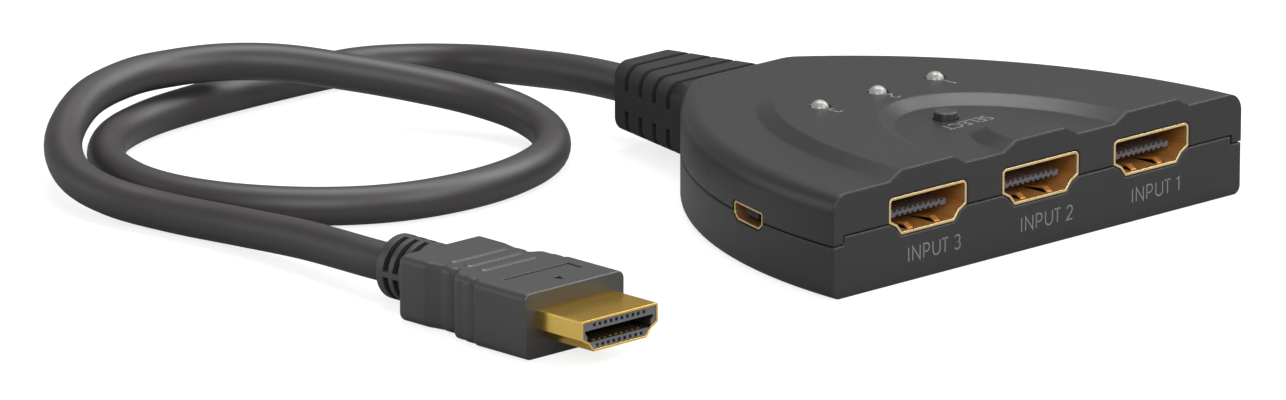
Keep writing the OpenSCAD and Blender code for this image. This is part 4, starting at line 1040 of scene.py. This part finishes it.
class SWITCHBOX_OT_case(bpy.types.Operator):
    """Makes the two halves of the case and its screws"""
    bl_idname = "switchbox.case"
    bl_label = "Housing"

    def execute(self, context):
        edge = context.scene.switch_case.edge
        dress("top_cover", "case", "upper_case", sharp=12)
        dress("bottom_cover", "case", "lower_case", edge=edge, limit=60)
        dress("case_screws", "steel", "case_screw_set", edge=0.12 * MM)
        return {"FINISHED"}


class SWITCHBOX_OT_sockets(bpy.types.Operator):
    """Makes the video sockets and the power inlet"""
    bl_idname = "switchbox.sockets"
    bl_label = "Sockets"

    def execute(self, context):
        for number in SOCKETS:
            name = "socket_%d_" % number
            dress(name + "shell", "socket", name + "sheath", edge=0.08 * MM)
            dress(name + "tongue", "insulator", name + "carrier", edge=0.04 * MM)
            paint(name + "contacts", "contact")
        dress("power_socket_shell", "inlet", "power_inlet_sheath", edge=0.07 * MM)
        dress("power_socket_tongue", "black", "power_inlet_carrier", edge=0.05 * MM)
        paint("power_socket_contacts", "contact")
        return {"FINISHED"}


class SWITCHBOX_OT_controls(bpy.types.Operator):
    """Makes the lamps, the select button and its switch"""
    bl_idname = "switchbox.controls"
    bl_label = "Lamps and button"

    def execute(self, context):
        for number in LAMPS:
            dress("lamp_%d" % number, "lamp", "lamp_%d_lens" % number, sharp=50)
        dress("select_button", "button", "button_cap", sharp=50)
        paint("lamp_leads", "tin")
        paint("button_switch_base", "black")
        paint("button_switch_plate", "tin")
        paint("button_switch_legs", "tin")
        dome = dress("button_switch_dome", "tin", "snap_dome", sharp=50)
        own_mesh(dome)
        return {"FINISHED"}


class SWITCHBOX_OT_print(bpy.types.Operator):
    """Prints the plain numbers and function words"""
    bl_idname = "switchbox.print"
    bl_label = "Print"

    def execute(self, context):
        stroke = context.scene.switch_ink.stroke
        work = bmesh.new()
        for number, x in SOCKETS.items():
            origin = Vector((x - FRONT_START, FACE_Y, FRONT_Z))
            write_word(
                work, "INPUT %d" % number, FRONT_H, origin, ACROSS, UP, stroke, FRONT_GAP)
        print_piece("front_print", work)
        marks = [
            (str(number), DIGIT_H, (x, FACE_Y + DIGITS_BACK, ROOF_Z))
            for number, x in LAMPS.items()]
        marks.append(("SELECT", WORD_H, (WORD_X, FACE_Y + WORD_BACK, HOLLOW_Z)))
        work = bmesh.new()
        for word, height, place in marks:
            write_word(
                work, word, height, Vector(place), -ACROSS, -BACK, ROOF_BOLD * stroke, ROOF_GAP,
                centred=True)
        print_piece("roof_print", work)
        return {"FINISHED"}


class SWITCHBOX_OT_inside(bpy.types.Operator):
    """Gives the board and its parts their finishes"""
    bl_idname = "switchbox.inside"
    bl_label = "Inside"

    def execute(self, context):
        looks = {
            "main_board": "board", "switch_chip": "black", "switch_chip_legs": "tin",
            "regulator_chip": "black", "chip_capacitors": "ceramic", "chip_resistors": "black",
            "wire_pairs": "wire"}
        for node, look in looks.items():
            paint(node, look)
        return {"FINISHED"}


class SWITCHBOX_OT_stage(bpy.types.Operator):
    """Makes the pale floor, the soft lights and the white room"""
    bl_idname = "switchbox.stage"
    bl_label = "Stage"

    def execute(self, context):
        scene = context.scene
        light = scene.switch_stage
        scene.view_settings.view_transform = "Standard"
        add_floor(light.mirrored)
        for name, (turn, height, share) in SOFT_LIGHTS.items():
            add_light(scene, name, light.power * share, light.size, turn, height)
        white_room(scene, light.world, light.mirrored)
        return {"FINISHED"}


class SWITCHBOX_PT_panel(bpy.types.Panel):
    bl_idname = "SWITCHBOX_PT_panel"
    bl_label = "Switch box"
    bl_space_type = "VIEW_3D"
    bl_region_type = "UI"
    bl_category = "Switch box"

    def draw(self, context):
        for name in SETTINGS:
            group = getattr(context.scene, name)
            box = self.layout.box()
            for prop in group.bl_rna.properties:
                if prop.identifier not in {"rna_type", "name"}:
                    box.prop(group, prop.identifier)
        for operator in OPERATORS:
            self.layout.operator(operator.bl_idname)


SETTINGS = {
    "switch_case": HousingSettings,
    "switch_ink": InkSettings,
    "switch_lead": LeadSettings,
    "switch_gilt": GiltSettings,
    "switch_stage": StageSettings,
}
OPERATORS = (
    SWITCHBOX_OT_camera, SWITCHBOX_OT_lead, SWITCHBOX_OT_case, SWITCHBOX_OT_sockets,
    SWITCHBOX_OT_controls, SWITCHBOX_OT_print, SWITCHBOX_OT_inside, SWITCHBOX_OT_stage)
CLASSES = (*SETTINGS.values(), *OPERATORS, SWITCHBOX_PT_panel)


def register():
    for made in CLASSES:
        bpy.utils.register_class(made)
    for name, group in SETTINGS.items():
        setattr(bpy.types.Scene, name, PointerProperty(type=group))


def unregister():
    for name in SETTINGS:
        delattr(bpy.types.Scene, name)
    for made in reversed(CLASSES):
        bpy.utils.unregister_class(made)


def main():
    register()
    bpy.ops.switchbox.camera()
    bpy.ops.switchbox.lead()
    bpy.ops.switchbox.case()
    bpy.ops.switchbox.sockets()
    bpy.ops.switchbox.controls()
    bpy.ops.switchbox.print()
    bpy.ops.switchbox.inside()
    bpy.ops.switchbox.stage()


if __name__ == "__main__":
    main()
